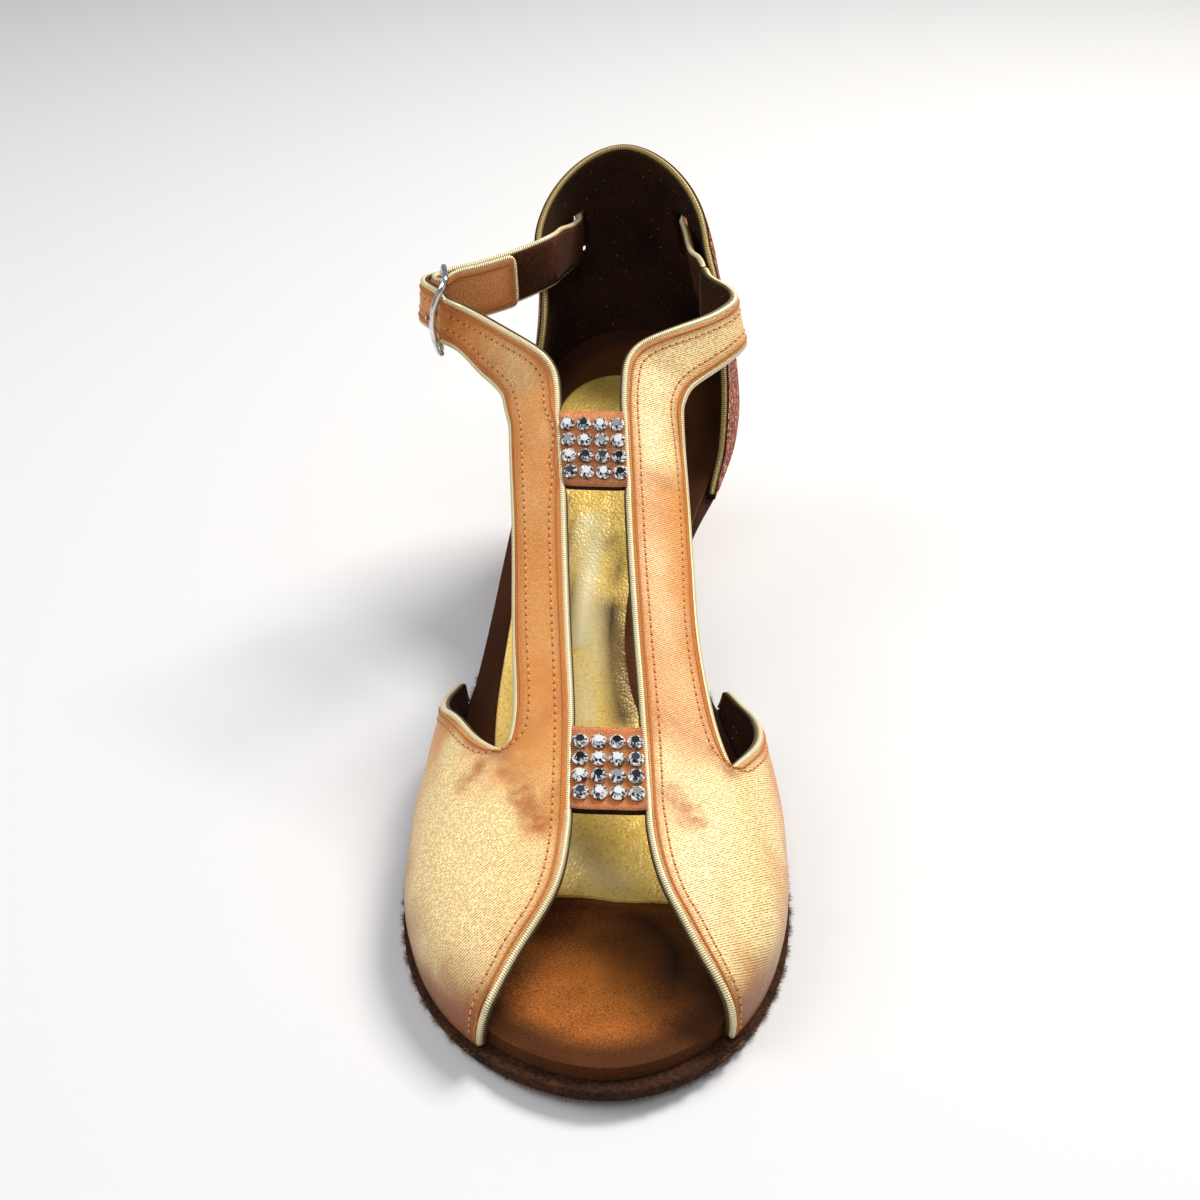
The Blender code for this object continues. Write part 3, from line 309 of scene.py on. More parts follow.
def satin(name, light, middle, deep, sheen=0.25, piped=True, near_sole=True):
    """Satin, woven: light where a highlight is painted in and where its tone is paler, middle elsewhere,
    deep between its threads and in the painted shade beside the piping.
    """
    material, add = start_material(name)
    place = add("TexCoord", out="Object")
    flat = add("UVMap", uv_map="cloth")
    turned = add("VectorRotate", {"Vector": flat, "Angle": TWILL_TURN})
    lines = add("TexWave", {"Vector": turned, "Scale": WAVE_LENGTH / TWILL_PITCH, "Distortion": 0.5,
                            "Detail": 1.0, "Detail Scale": 1.0}, out="Fac")
    slubs = add("TexNoise", {"Vector": place, "Scale": 1 / SLUB, "Detail": 2.0})
    cloud = add("TexNoise", {"Vector": place, "Scale": 1 / CLOUD, "Detail": 3.0})
    blotch = add("TexNoise", {"Vector": place, "Scale": 1 / BLOTCH, "Detail": 4.0})
    # Painted highlights (bright) and the random tone of clouds and slubs lift the cloth to its light
    # colour.
    bright = add("Attribute", attribute_name="bright", out="Fac")
    cloudy = add("Math", {0: cloud, 1: 0.9, 2: bright}, operation="MULTIPLY_ADD")
    cloudy = add("Math", {0: slubs, 1: 0.85, 2: cloudy}, operation="MULTIPLY_ADD")
    highlight_and_tone = add("MapRange", {0: cloudy, 1: 0.66, 2: 1.78}, **SOFT)
    colour = add("Mix", {0: highlight_and_tone, 6: middle, 7: light}, out=2, **OF_COLOURS)
    grooves = add("MapRange", {0: lines, 1: 0.2, 2: 0.8, 3: 0.9, 4: 0.0}, **SOFT)
    broken = add("MapRange", {0: slubs, 1: 0.38, 2: 0.58}, **SOFT)
    threads = add("Math", {0: grooves, 1: broken}, operation="MULTIPLY")
    colour = add("Mix", {0: threads, 6: colour, 7: deep}, out=2, **OF_COLOURS)
    # Dirt and painted shade in the creases, and painted shade on the outer wing, from stored strokes.
    dirt_and_shade = add("Attribute", attribute_name="dirt_and_shade", out="Fac")
    ragged = add("MapRange", {0: blotch, 1: 0.25, 2: 0.75, 3: 0.6, 4: 1.2}, **SOFT)
    marks = add("Math", {0: dirt_and_shade, 1: ragged}, operation="MULTIPLY")
    crease_darkening = add("MapRange", {0: marks, 1: 0.0, 2: 1.1, 3: 0.0, 4: 0.85}, **SOFT)
    colour = add("Mix", {0: crease_darkening, 6: colour, 7: CREASE_SOIL_AND_SHADE}, out=2, **OF_COLOURS)
    # Painted shade on the cloth beside the piped edge.
    if piped:
        rim = add("Attribute", attribute_name="rim", out="Fac")
        edge = add("MapRange", {0: rim, 1: EDGE_FROM, 2: EDGE_FULL, 3: 0.0, 4: 0.5}, **SOFT)
        colour = add("Mix", {0: edge, 6: colour, 7: deep}, out=2, **OF_COLOURS)
    # Painted shade, with a painted reflection of the dark sole, browns the cloth near the sole.
    if near_sole:
        foot = add("Attribute", attribute_name="foot", out="Fac")
        low = add("Math", {0: cloud, 1: CLOUD_RISE, 2: foot}, operation="MULTIPLY_ADD")
        low = add("Math", {0: slubs, 1: SLUB_RISE, 2: low}, operation="MULTIPLY_ADD")
        sole_shade_share = add("MapRange", {0: low, 1: BROWN_FROM, 2: BROWN_FULL, 3: 0.0, 4: 0.92}, **SOFT)
        colour = add("Mix", {0: sole_shade_share, 6: colour, 7: SOLE_SHADE}, out=2, **OF_COLOURS)
    gloss = add("MapRange", {0: slubs, 1: 0.3, 2: 0.7, 3: 0.3, 4: 0.48}, **SOFT)
    folds = add("Math", {0: marks, 1: -0.45, 2: cloud}, operation="MULTIPLY_ADD")
    normal = add("Bump", {"Height": folds, "Strength": 0.6, "Distance": FOLD_DEPTH})
    normal = add("Bump", {"Height": lines, "Strength": 0.8, "Distance": TWILL_DEPTH, "Normal": normal})
    normal = add("Bump", {"Height": slubs, "Strength": 0.8, "Distance": SLUB_DEPTH, "Normal": normal})
    return finish_material(material, {
        "Base Color": colour, "Roughness": gloss, "Normal": normal,
        "Sheen Weight": sheen, "Sheen Roughness": 0.3, "Sheen Tint": "#FFEAB8"})


# %% [markdown]
# Suede is leather with its fibres brushed up, so it hardly shines, and its colour changes with the lie of
# the nap. The linings are close to black, and the insole is a warm brown with painted shade towards the
# heel and along its rim, and a painted shadow under the vamp. A few pale specks of lint cling to the
# linings.

# %% Suede
# Painted shade on the suede: where it darkens towards the heel, its colour, and the colour of the vamp's
# painted shadow.
REAR_SHADE_FROM = -45 * MM
REAR_SHADE_TO = 40 * MM
SUEDE_SHADE = "#2A1206"
VAMP_SHADOW = "#1A0C06"
LINT = 2.4 * MM
PATCH = 14 * MM
NAP_DEPTH = 0.25 * MM
# Where the painted shade along the rim begins and where it is full.
RIM_SHADE_FROM = 11 * MM
RIM_SHADE_FULL = 3.5 * MM


def suede(name, dark, light, grain=0.6 * MM, rear_shade=0.0, rim_shade=0.0, lint=0.0):
    """Suede, brushed: grain is the size of its nap; the next two say how strongly shade is painted towards
    the heel and along the rim, where a stored painted shadow joins it.
    """
    material, add = start_material(name)
    place = add("TexCoord", out="Object")
    nap = add("TexNoise", {"Vector": place, "Scale": 1 / grain, "Detail": 3.0})
    patches = add("TexNoise", {"Vector": place, "Scale": 1 / PATCH, "Detail": 2.0})
    patches = add("Math", {0: patches, 1: 0.4}, operation="MULTIPLY")
    both = add("Math", {0: nap, 1: 0.6, 2: patches}, operation="MULTIPLY_ADD")
    lie = add("MapRange", {0: both, 1: 0.34, 2: 0.66}, **SOFT)
    colour = add("Mix", {0: lie, 6: dark, 7: light}, out=2, **OF_COLOURS)
    # Painted shade, darker towards the heel.
    if rear_shade:
        along = add("SeparateXYZ", {"Vector": place}, out="Y")
        rear_shade_share = add("MapRange", {0: along, 1: REAR_SHADE_FROM, 2: REAR_SHADE_TO, 3: 0.0, 4: rear_shade}, **SOFT)
        colour = add("Mix", {0: rear_shade_share, 6: colour, 7: SUEDE_SHADE}, out=2, **OF_COLOURS)
    # Painted shade along the rim, and the painted shadow of the vamp.
    if rim_shade:
        rim = add("Attribute", attribute_name="rim", out="Fac")
        rim_shade_share = add("MapRange", {0: rim, 1: RIM_SHADE_FROM, 2: RIM_SHADE_FULL, 3: 0.0, 4: rim_shade}, **SOFT)
        colour = add("Mix", {0: rim_shade_share, 6: colour, 7: SUEDE_SHADE}, out=2, **OF_COLOURS)
        shaded = add("Attribute", attribute_name="dirt_and_shade", out="Fac")
        colour = add("Mix", {0: shaded, 6: colour, 7: VAMP_SHADOW}, out=2, **OF_COLOURS)
    if lint:
        specks = add("TexVoronoi", {"Vector": place, "Scale": 1 / LINT})
        seen = add("MapRange", {0: specks, 1: 0.11, 2: 0.05, 3: 0.0, 4: lint}, **SOFT)
        colour = add("Mix", {0: seen, 6: colour, 7: "#B8A48C"}, out=2, **OF_COLOURS)
    normal = add("Bump", {"Height": nap, "Strength": 0.8, "Distance": NAP_DEPTH})
    return finish_material(material, {
        "Base Color": colour, "Normal": normal, "Roughness": 0.95, "Specular IOR Level": 0.2,
        "Sheen Weight": 0.3, "Sheen Roughness": 0.5, "Sheen Tint": light})


# %% [markdown]
# Glitter fabric is a cloth strewn with foil flakes, each lying at its own tilt. A Voronoi cell is a flake:
# its random colour also tips its normal, so that single flakes flash, and the palest colours are painted
# glints. Real flakes are about 0.2 mm wide; they are drawn at 0.55 mm, or they would melt into one tone.

# %% Glitter
FLAKE = 0.55 * MM
FLAKE_DEPTH = 0.15 * MM


def glitter(name):
    """Foil flakes strewn on cloth: dark copper red, with painted glints on the palest."""
    material, add = start_material(name)
    place = add("TexCoord", out="Object")
    tint = add("TexVoronoi", {"Vector": place, "Scale": 1 / FLAKE}, out="Color")
    edge = tint.node.outputs["Distance"]
    share = add("SeparateColor", {"Color": tint})
    colour = add("ValToRGB", {"Fac": share}, stops=[
        (0.0, "#260502"), (0.5, "#741A08"), (0.82, "#B63C12"), (0.98, "#FFC080")])
    tilt = add("VectorMath", {0: tint, 1: (0.5, 0.5, 0.5)}, operation="SUBTRACT")
    tilt = add("VectorMath", {0: tilt, "Scale": 0.7}, operation="SCALE")
    facing = add("NewGeometry", out="Normal")
    leaned = add("VectorMath", {0: tilt, 1: facing}, operation="ADD")
    turned = add("VectorMath", {0: leaned}, operation="NORMALIZE")
    normal = add("Bump", {"Height": edge, "Strength": 0.4, "Distance": FLAKE_DEPTH, "Normal": turned})
    return finish_material(material, {
        "Base Color": colour, "Normal": normal, "Roughness": 0.5, "Metallic": 0.2,
        "Specular IOR Level": 0.1})


# %% [markdown]
# Gold leather is hide with a thin metallic foil pressed on it, so it is a dull metal with the hide's
# pebbles: about 0.6 mm wide here. Soft folds run across it, and its cut edge is darker. Painted shade
# darkens the folds that turn away, and a painted highlight (bright) lifts the one that faces up.

# %% Gold leather
PEBBLE = 0.6 * MM
PEBBLE_DEPTH = -0.12 * MM
CREASE = 2.5 * MM
CREASE_DEPTH = 0.4 * MM
FOLD = 11 * MM
SOFT_FOLD_DEPTH = 3 * MM
CUT_FROM = 0.9 * MM
CUT_FULL = 0.3 * MM


def gold_leather(name):
    """Foiled leather: yellow gold pebbles, soft folds with painted shade and highlights, a dark cut edge.
    """
    material, add = start_material(name)
    place = add("TexCoord", out="Object")
    pebbles = add("TexVoronoi", {"Vector": place, "Scale": 1 / PEBBLE, "Smoothness": 0.5},
                  feature="SMOOTH_F1")
    creases = add("TexNoise", {"Vector": place, "Scale": 1 / CREASE, "Detail": 4.0})
    folds = add("TexNoise", {"Vector": place, "Scale": 1 / FOLD, "Detail": 2.0})
    colour = add("ValToRGB", {"Fac": pebbles}, stops=[
        (0.1, "#FFE68A"), (0.6, "#FFD060"), (0.95, "#E2AE48")])
    # Painted shade on the folds that turn away, and a painted highlight on the one that faces up.
    dirt_and_shade = add("Attribute", attribute_name="dirt_and_shade", out="Fac")
    colour = add("Mix", {0: dirt_and_shade, 6: colour, 7: "#4A3214"}, out=2, **OF_COLOURS)
    lit = add("Attribute", attribute_name="bright", out="Fac")
    colour = add("Mix", {0: lit, 6: colour, 7: "#FFF6CC"}, out=2, **OF_COLOURS)
    rim = add("Attribute", attribute_name="rim", out="Fac")
    cut = add("MapRange", {0: rim, 1: CUT_FROM, 2: CUT_FULL, 3: 0.0, 4: 0.9}, **SOFT)
    colour = add("Mix", {0: cut, 6: colour, 7: "#2E1C0A"}, out=2, **OF_COLOURS)
    normal = add("Bump", {"Height": folds, "Strength": 0.35, "Distance": SOFT_FOLD_DEPTH})
    normal = add("Bump", {"Height": creases, "Strength": 0.35, "Distance": CREASE_DEPTH, "Normal": normal})
    normal = add("Bump", {"Height": pebbles, "Strength": 1.0, "Distance": PEBBLE_DEPTH, "Normal": normal})
    return finish_material(material, {
        "Base Color": colour, "Normal": normal, "Roughness": 0.38, "Metallic": 0.18})


# %% [markdown]
# The buckle is steel wire, bent and chrome plated: a clear mirror that handling has dulled in places.
# The heel's tip is moulded rubber, nearly black and matt, with grit pressed into it.

# %% Chrome and rubber
TARNISH = 1.5 * MM
GRIT = 0.7 * MM
GRIT_DEPTH = 0.1 * MM


def chrome(name):
    """Chrome plate on wire: a mirror with duller patches."""
    material, add = start_material(name)
    place = add("TexCoord", out="Object")
    wear = add("TexNoise", {"Vector": place, "Scale": 1 / TARNISH, "Detail": 3.0})
    colour = add("ValToRGB", {"Fac": wear}, stops=[(0.3, "#B4B6BA"), (0.7, "#EDEEF0")])
    gloss = add("MapRange", {0: wear, 1: 0.3, 2: 0.7, 3: 0.07, 4: 0.2}, **SOFT)
    return finish_material(material, {"Base Color": colour, "Roughness": gloss, "Metallic": 1.0})


def rubber(name):
    """Moulded rubber: nearly black, gritty."""
    material, add = start_material(name)
    place = add("TexCoord", out="Object")
    grit = add("TexNoise", {"Vector": place, "Scale": 1 / GRIT, "Detail": 3.0})
    colour = add("ValToRGB", {"Fac": grit}, stops=[(0.3, "#15110E"), (0.7, "#2A241F")])
    normal = add("Bump", {"Height": grit, "Strength": 0.6, "Distance": GRIT_DEPTH})
    return finish_material(material, {"Base Color": colour, "Normal": normal, "Roughness": 0.6})


# %% [markdown]
# The piping is a metallic braid wound round a cord: its ribs lean like a rope's. Its UV map runs
# round the cord and along it, in millimetres, so the ribs follow every bend. Thread is spun
# polyester, matt, with a little change of tone along its twist. Loose fibres are the same, thinner.

# %% Braid and thread
RIB_PITCH = 0.5
RIB_DEPTH = 0.1 * MM
TWIST = 0.3 * MM
TWIST_DEPTH = 0.05 * MM


def braid(name, light, dark):
    """Metallic braid, wound: light ribs with dark lines between them."""
    material, add = start_material(name)
    wound = add("UVMap", uv_map="along")
    around = add("SeparateXYZ", {"Vector": wound}, out="X")
    along = around.node.outputs["Y"]
    turns = add("Math", {0: along, 1: 1 / RIB_PITCH, 2: around}, operation="MULTIPLY_ADD")
    angle = add("Math", {0: turns, 1: 2 * math.pi}, operation="MULTIPLY")
    wave = add("Math", {0: angle}, operation="SINE")
    rib = add("MapRange", {0: wave, 1: -0.9, 2: 0.7}, **SOFT)
    colour = add("ValToRGB", {"Fac": rib}, stops=[(0.0, dark), (0.75, light)])
    normal = add("Bump", {"Height": rib, "Distance": RIB_DEPTH})
    return finish_material(material, {
        "Base Color": colour, "Normal": normal, "Roughness": 0.38, "Metallic": 0.4})


def thread(name, light, dark):
    """Spun thread: matt, darker along its twist."""
    material, add = start_material(name)
    place = add("TexCoord", out="Object")
    twist = add("TexNoise", {"Vector": place, "Scale": 1 / TWIST})
    share = add("MapRange", {0: twist, 1: 0.3, 2: 0.7, 3: 0.0, 4: 0.6}, **SOFT)
    colour = add("Mix", {0: share, 6: light, 7: dark}, out=2, **OF_COLOURS)
    normal = add("Bump", {"Height": twist, "Strength": 0.6, "Distance": TWIST_DEPTH})
    return finish_material(material, {
        "Base Color": colour, "Normal": normal, "Roughness": 0.7, "Specular IOR Level": 0.15})


# %% [markdown]
# A stone is pressed glass with a foil at its back: each facet throws back one small part of the room, so
# one is white and the next is black. That reflection is painted into each facet's colour as a grey, stored
# on its face.

# %% Crystal
def crystal(name):
    """Foiled cut glass: white and black facets, their reflections painted into the colour, under a clear
    coat.
    """
    material, add = start_material(name)
    grey = add("Attribute", attribute_name="facet", out="Fac")
    colour = add("ValToRGB", {"Fac": grey}, stops=[(0.0, "#08090C"), (0.4, "#4A4F58"), (0.7, "#FFFFFF")])
    return finish_material(material, {
        "Base Color": colour, "Roughness": 0.08, "Metallic": 0.45,
        "Coat Weight": 1.0, "Coat Roughness": 0.02})


# %% [markdown]
# With those finishes written, each material of this shoe is one line: its kind, and the colours that
# its own piece shows. A comment says what that gives the eye.

# %% The materials of this shoe
# Cream gold where highlights are painted in and its tone is paler, orange elsewhere, and brown painted
# shade near the sole.
UPPER_SATIN = satin("satin, woven", "#FAE2A4", "#DA8E3C", "#96501A")
# The same cloth in a copy of its own: more orange, its colours painted lighter because the strap lies out
# of the key light.
STRAP_SATIN = satin("satin, woven, of the strap", "#F4C48C", "#E2904E", "#A0582A", near_sole=False)
# Redder and darker, so that the crystals stand out from it.
BRIDGE_SATIN = satin("satin twill, woven, of the bridges", "#DE9656", "#C0743A", "#843E12", 0.1)
# Even, because nothing rubs it: its lines run down the heel.
HEEL_SATIN = satin("satin, woven, glued on the heel", "#EFCB92", "#D08C48", "#9C5520", piped=False,
                   near_sole=False)
# A thin orange fold beside the pale piping, its darker tone painted shade of the groove there.
WELT_SATIN = thread("satin, folded, along the piping", "#C67C3A", "#8A4818")
# Nearly black inside the shoe, with pale specks.
LINING = suede("suede, brushed, of the linings", "#1A0C06", "#3A210E", lint=0.5)
# A little warmer than the lining behind it.
STRAP_LINING = suede("suede, brushed, of the strap", "#241006", "#4C2812")
# Warm brown in the middle of the toe, with painted shade round it, towards the heel and under the vamp.
INSOLE_SUEDE = suede("suede, brushed, of the insole", "#6A3412", "#AC6628", 0.4 * MM, 0.75, 0.85)
# A dark line round the foot of the shoe.
SOLE_SUEDE = suede("chrome suede, brushed, of the sole", "#1A0D07", "#442616", 0.9 * MM)
# Fuzz that blurs the sole's edge: most of it dark, some that catches the light.
DARK_FIBRES = thread("suede fibres, dark", "#5A3C26", "#2C1A0E")
TAN_FIBRES = thread("suede fibres, tan", "#B08E68", "#7A5A3C")
# Red flakes on brown, the palest ones painted glints.
GLITTER = glitter("foil flakes on cloth, copper red")
# Yellow gold that glows in the slit of the T-bar.
GOLD_LEATHER = gold_leather("gold leather, foiled and pebbled")
# A cold bright line against the warm satin.
CHROME = chrome("steel wire, chrome plated")
# Black and matt, so that it hardly shows.
RUBBER = rubber("rubber, moulded")
# The pale outline of every satin edge, a dull one for the counter, and a dark one under the pale, whose
# darkness is painted shade on the piping's lower side.
PALE_BRAID = braid("metallic braid, wound, pale gold", "#FBEFC6", "#A8905A")
RIM_BRAID = braid("metallic braid, wound, dull gold", "#BCA466", "#4A3A1C")
DARK_BRAID = braid("metallic braid, wound, dark", "#5C4A26", "#20160A")
# Dashes a little lighter than the cloth, with dark dots of painted shade where the needle went through.
STITCH_THREAD = thread("polyester thread, spun", "#DFA468", "#A8642C")
NEEDLE_HOLES = thread("needle holes, in shade", "#9A4A18", "#6A2C0C")
# White and black glints, painted into the facets' colour.
CRYSTAL = crystal("glass, pressed and foiled")
print(len(bpy.data.materials), "materials")

# %% [markdown]
# The camera was worked out from the photo: where it stood, how far down it looked and how long its
# lens is, as a share of the picture's width. The picture is square, and places in it are counted in
# its pixels from its top left corner.

# %% Camera
PHOTO_WIDTH = 1200
CAMERA_PLACE = (11.4 * MM, -298.8 * MM, 260.1 * MM)
CAMERA_YAW = math.radians(-2.44)
CAMERA_PITCH = math.radians(32.96)
CAMERA_ROLL = math.radians(-0.28)
FOCAL_SHARE = 1707 / PHOTO_WIDTH
SENSOR = 36.0


def photo_camera():
    """The camera at the photo's place and angle."""
    ahead = Vector((math.sin(CAMERA_YAW) * math.cos(CAMERA_PITCH),
                    math.cos(CAMERA_YAW) * math.cos(CAMERA_PITCH), -math.sin(CAMERA_PITCH)))
    level = Vector((math.cos(CAMERA_YAW), -math.sin(CAMERA_YAW), 0))
    above = level.cross(ahead)
    right = level * math.cos(CAMERA_ROLL) + above * math.sin(CAMERA_ROLL)
    up = above * math.cos(CAMERA_ROLL) - level * math.sin(CAMERA_ROLL)
    data = bpy.data.cameras.new("photo camera")
    data.sensor_width = SENSOR
    data.lens = FOCAL_SHARE * SENSOR
    data.clip_start = 0.01
    camera = bpy.data.objects.new("photo camera", data)
    bpy.context.scene.collection.objects.link(camera)
    turn = Matrix((right, up, -ahead)).transposed().to_4x4()
    camera.matrix_world = Matrix.Translation(CAMERA_PLACE) @ turn
    bpy.context.scene.camera = camera


photo_camera()
print("camera at", CAMERA_PLACE)

# %% [markdown]
# Plain soft studio light: a pale floor, a bright room, one large soft key from behind on the right,
# and two weaker lights, one on the left and one in front. The shadow falls to the left of the toe, as
# in the photo. Each light is a square, given by its place, the point that it looks at, its side in
# metres and its power in watts.

# %% Floor and light
FLOOR_SIDE = 6.0


def soft_light(name, place, aim, size, watts, colour="#FFFFFF"):
    """A square light at a place, turned to look at a point."""
    data = bpy.data.lights.new(name, "AREA")
    data.shape = "SQUARE"
    data.size = size
    data.energy = watts
    data.color = hex_colour(colour)[:3]
    light = bpy.data.objects.new(name, data)
    bpy.context.scene.collection.objects.link(light)
    light.location = place
    light.rotation_euler = (Vector(aim) - Vector(place)).to_track_quat("-Z", "Y").to_euler()


def studio():
    """Floor, room and three lights."""
    bpy.ops.mesh.primitive_plane_add(size=FLOOR_SIDE, location=(0, 0, 0))
    floor = bpy.context.active_object
    floor.name = "floor"
    paper = start_material("paper, matt")[0]
    floor.data.materials.append(finish_material(paper, {"Base Color": "#CFCFD1", "Roughness": 0.8}))
    world = bpy.data.worlds.new("bright room")
    world.use_nodes = True
    fill(world.node_tree, world.node_tree.nodes["Background"], {"Color": "#F6F8FF", "Strength": 0.31})
    bpy.context.scene.world = world
    bpy.context.scene.view_settings.view_transform = "Standard"
    soft_light("key", (0.42, 0.46, 0.90), (0, 0.02, 0.03), 0.40, 13.5, "#FFFBF2")
    soft_light("fill", (-0.7, -0.1, 0.8), (0, 0.0, 0.03), 0.6, 3.4)
    soft_light("front", (0.0, -0.55, 0.85), (0, 0.0, 0.03), 0.4, 2.8)


studio()

# %% [markdown]
# Edges carry the piping, the stitches and the turned cloth, so the lines they follow are read from
# the dressed form itself: the border of its outer side, as chains of points. Each point keeps the
# skin's normal there and the way inward over the skin.

# %% Lines along the edges
def border_chains(piece, zone):
    """Chains of points round one material zone: (place, normal, inward) for each."""
    shape = bmesh.new()
    shape.from_mesh(piece.data)
    border = [edge for edge in shape.edges
              if sum(face.material_index == zone for face in edge.link_faces) == 1]
    near = {}
    for edge in border:
        for vert in edge.verts:
            near.setdefault(vert, []).append(edge)
    left = set(border)
    chains = []
    while left:
        edge = min(left, key=lambda item: item.index)
        left.discard(edge)
        walk = [edge.verts[0], edge.verts[1]]
        while True:
            ahead = [item for item in near[walk[-1]] if item in left]
            if not ahead:
                break
            left.discard(ahead[0])
            walk.append(ahead[0].other_vert(walk[-1]))
        chains.append(walk)
    lines = []
    for walk in chains:
        line = []
        for vert in walk:
            faces = [face for face in vert.link_faces if face.material_index == zone]
            normal = sum((face.normal for face in faces), Vector()).normalized()
            middle = sum((face.calc_center_median() for face in faces), Vector()) / len(faces)
            line.append((vert.co.copy(), normal, middle - vert.co))
        lines.append(line)
    shape.free()
    return lines


def runs_of(chain, keep):
    """Splits a closed chain into its stretches where keep says yes."""
    marks = [keep(point) for point in chain]
    if all(marks):
        return [chain]
    start = marks.index(False)
    turned = chain[start:] + chain[:start]
    runs, run = [], []
    for point in turned:
        if keep(point):
            run.append(point)
        elif run:
            runs.append(run)
            run = []
    if run:
        runs.append(run)
    return [run for run in runs if len(run) > 3]


def even_line(points, step, rounds):
    """Points at equal steps along a line that is smoothed a little first."""
    places = np.array([tuple(point) for point in points])
    for _ in range(rounds):
        places[1:-1] = places[1:-1] * 0.5 + (places[:-2] + places[2:]) * 0.25
    lengths = np.concatenate([[0], np.cumsum(np.linalg.norm(np.diff(places, axis=0), axis=1))])
    count = max(2, int(round(lengths[-1] / step)) + 1)
    at = np.linspace(0, lengths[-1], count)
    return [Vector([np.interp(value, lengths, places[:, axis]) for axis in range(3)]) for value in at]


def surface_of(piece):
    """All faces of a piece, to search by place."""
    return BVHTree.FromPolygons([vert.co for vert in piece.data.vertices],
                                [face.vertices[:] for face in piece.data.polygons])


def skin_only(piece, zones):
    """The faces of some material zones alone, to search by place."""
    faces = [face.vertices[:] for face in piece.data.polygons if face.material_index in zones]
    return BVHTree.FromPolygons([vert.co for vert in piece.data.vertices], faces)


# %% [markdown]
# A cord is a ring of points carried along a line, turning no more than the line does. It is built
# ring by ring because its UV map has to hold the share round the ring and the millimetres along it,
# which the ribs of the braid follow; a bevelled curve would stretch them.

# %% Cords and stitches
STITCH_SIZE = (1.3 * MM, 0.55 * MM, 0.46 * MM)
HOLE_SIZE = (0.55 * MM, 0.62 * MM, 0.22 * MM)
PIPING_STEP = 0.6 * MM
SMOOTH_ROUNDS = 3


def cord(name, lines, radius, material, sides=10):
    """Round cords along lines of points, in one mesh, with closed ends."""
    shape = bmesh.new()
    layer = shape.loops.layers.uv.new("along")
    for line in lines:
        rings, runs = [], []
        side = None
        length = 0.0
        for k, point in enumerate(line):
            run = (line[min(k + 1, len(line) - 1)] - line[max(k - 1, 0)]).normalized()
            side = side or run.orthogonal()
            side = (side - run * side.dot(run)).normalized()
            other = run.cross(side)
            if k:
                length += (point - line[k - 1]).length
            turns = [2 * math.pi * s / sides for s in range(sides)]
            ways = [side * math.cos(turn) + other * math.sin(turn) for turn in turns]
            rings.append([shape.verts.new(point + way * radius) for way in ways])
            runs.append(length / MM)
        for k in range(len(rings) - 1):
            for s in range(sides):
                after = (s + 1) % sides
                face = shape.faces.new((rings[k][s], rings[k][after],
                                        rings[k + 1][after], rings[k + 1][s]))
                for loop, (u, v) in zip(face.loops, ((s, k), (s + 1, k), (s + 1, k + 1), (s, k + 1))):
                    loop[layer].uv = (u / sides, runs[v])
        shape.faces.new(reversed(rings[0]))
        shape.faces.new(rings[-1])
    mesh = bpy.data.meshes.new(name)
    shape.to_mesh(mesh)
    shape.free()
    return new_piece(mesh, name, material)


def one_stitch(length, width, height):
    """A stitch as a small rounded bar, lying along X, from a sphere."""
    bpy.ops.object.select_all(action="DESELECT")
    bpy.ops.mesh.primitive_uv_sphere_add(segments=8, ring_count=6, radius=0.5, location=(0, 0, 0))
    ball = bpy.context.active_object
    bpy.ops.object.mode_set(mode="EDIT")
    bpy.ops.transform.resize(value=(length, width, height))
    bpy.ops.object.mode_set(mode="OBJECT")
    verts = [vert.co.copy() for vert in ball.data.vertices]
    faces = [face.vertices[:] for face in ball.data.polygons]
    bpy.data.objects.remove(ball, do_unlink=True)
    return verts, faces


def stitch_rows(name, paths, size, material, share):
    """Small bars in rows, as one mesh: one at each place of a path, or a share of a step further on."""
    verts, faces = one_stitch(*size)
    places, polygons = [], []
    for path in paths:
        for k in range(1, len(path) - 1):
            point, up = path[k]
            point = point.lerp(path[k + 1][0], share)
            run = (path[k + 1][0] - path[k - 1][0]).normalized()
            side = up.cross(run).normalized()
            turn = Matrix((run, side, run.cross(side))).transposed()
            start = len(places)
            places += [point + turn @ vert for vert in verts]
            polygons += [[start + index for index in face] for face in faces]
    return built_piece(name, places, polygons, material)


def sew(name, rows):
    """Stitches along rows of points on the cloth, and needle holes half a step on."""
    dress(stitch_rows(name + "_stitches", rows, STITCH_SIZE, STITCH_THREAD, 0.0), "upper_satin")
    dress(stitch_rows(name + "_needle_holes", rows, HOLE_SIZE, NEEDLE_HOLES, 0.5), "upper_satin")


def beside(chain, surface, inset, pitch):
    """Points on the skin at a distance inward from an edge, at equal steps, with the skin's normal."""
    moved = []
    for place, normal, inward in chain:
        way = (inward - normal * inward.dot(normal)).normalized()
        moved.append(place + way * inset)
    path = []
    for point in even_line(moved, pitch, 6):
        path.append(surface.find_nearest(point)[:2])
    return path


def mid_wall(line, wall, rounds=SMOOTH_ROUNDS):
    """The line sunk to the middle of the sheet's rim."""
    return even_line([place - normal * wall / 2 for place, normal, _ in line], PIPING_STEP, rounds)


def ends_in_mm(lines):
    """First and last point of each line in whole millimetres, to print."""
    return [tuple(round(value / MM) for value in line[end][0]) for line in lines for end in (0, -1)]


def store_distance(piece, name, points):
    """Stores how far each vertex is from the nearest of some points."""
    tree = KDTree(len(points))
    for index, point in enumerate(points):
        tree.insert(point, index)
    tree.balance()
    store_values(piece.data, name, [tree.find(vert.co)[2] for vert in piece.data.vertices])


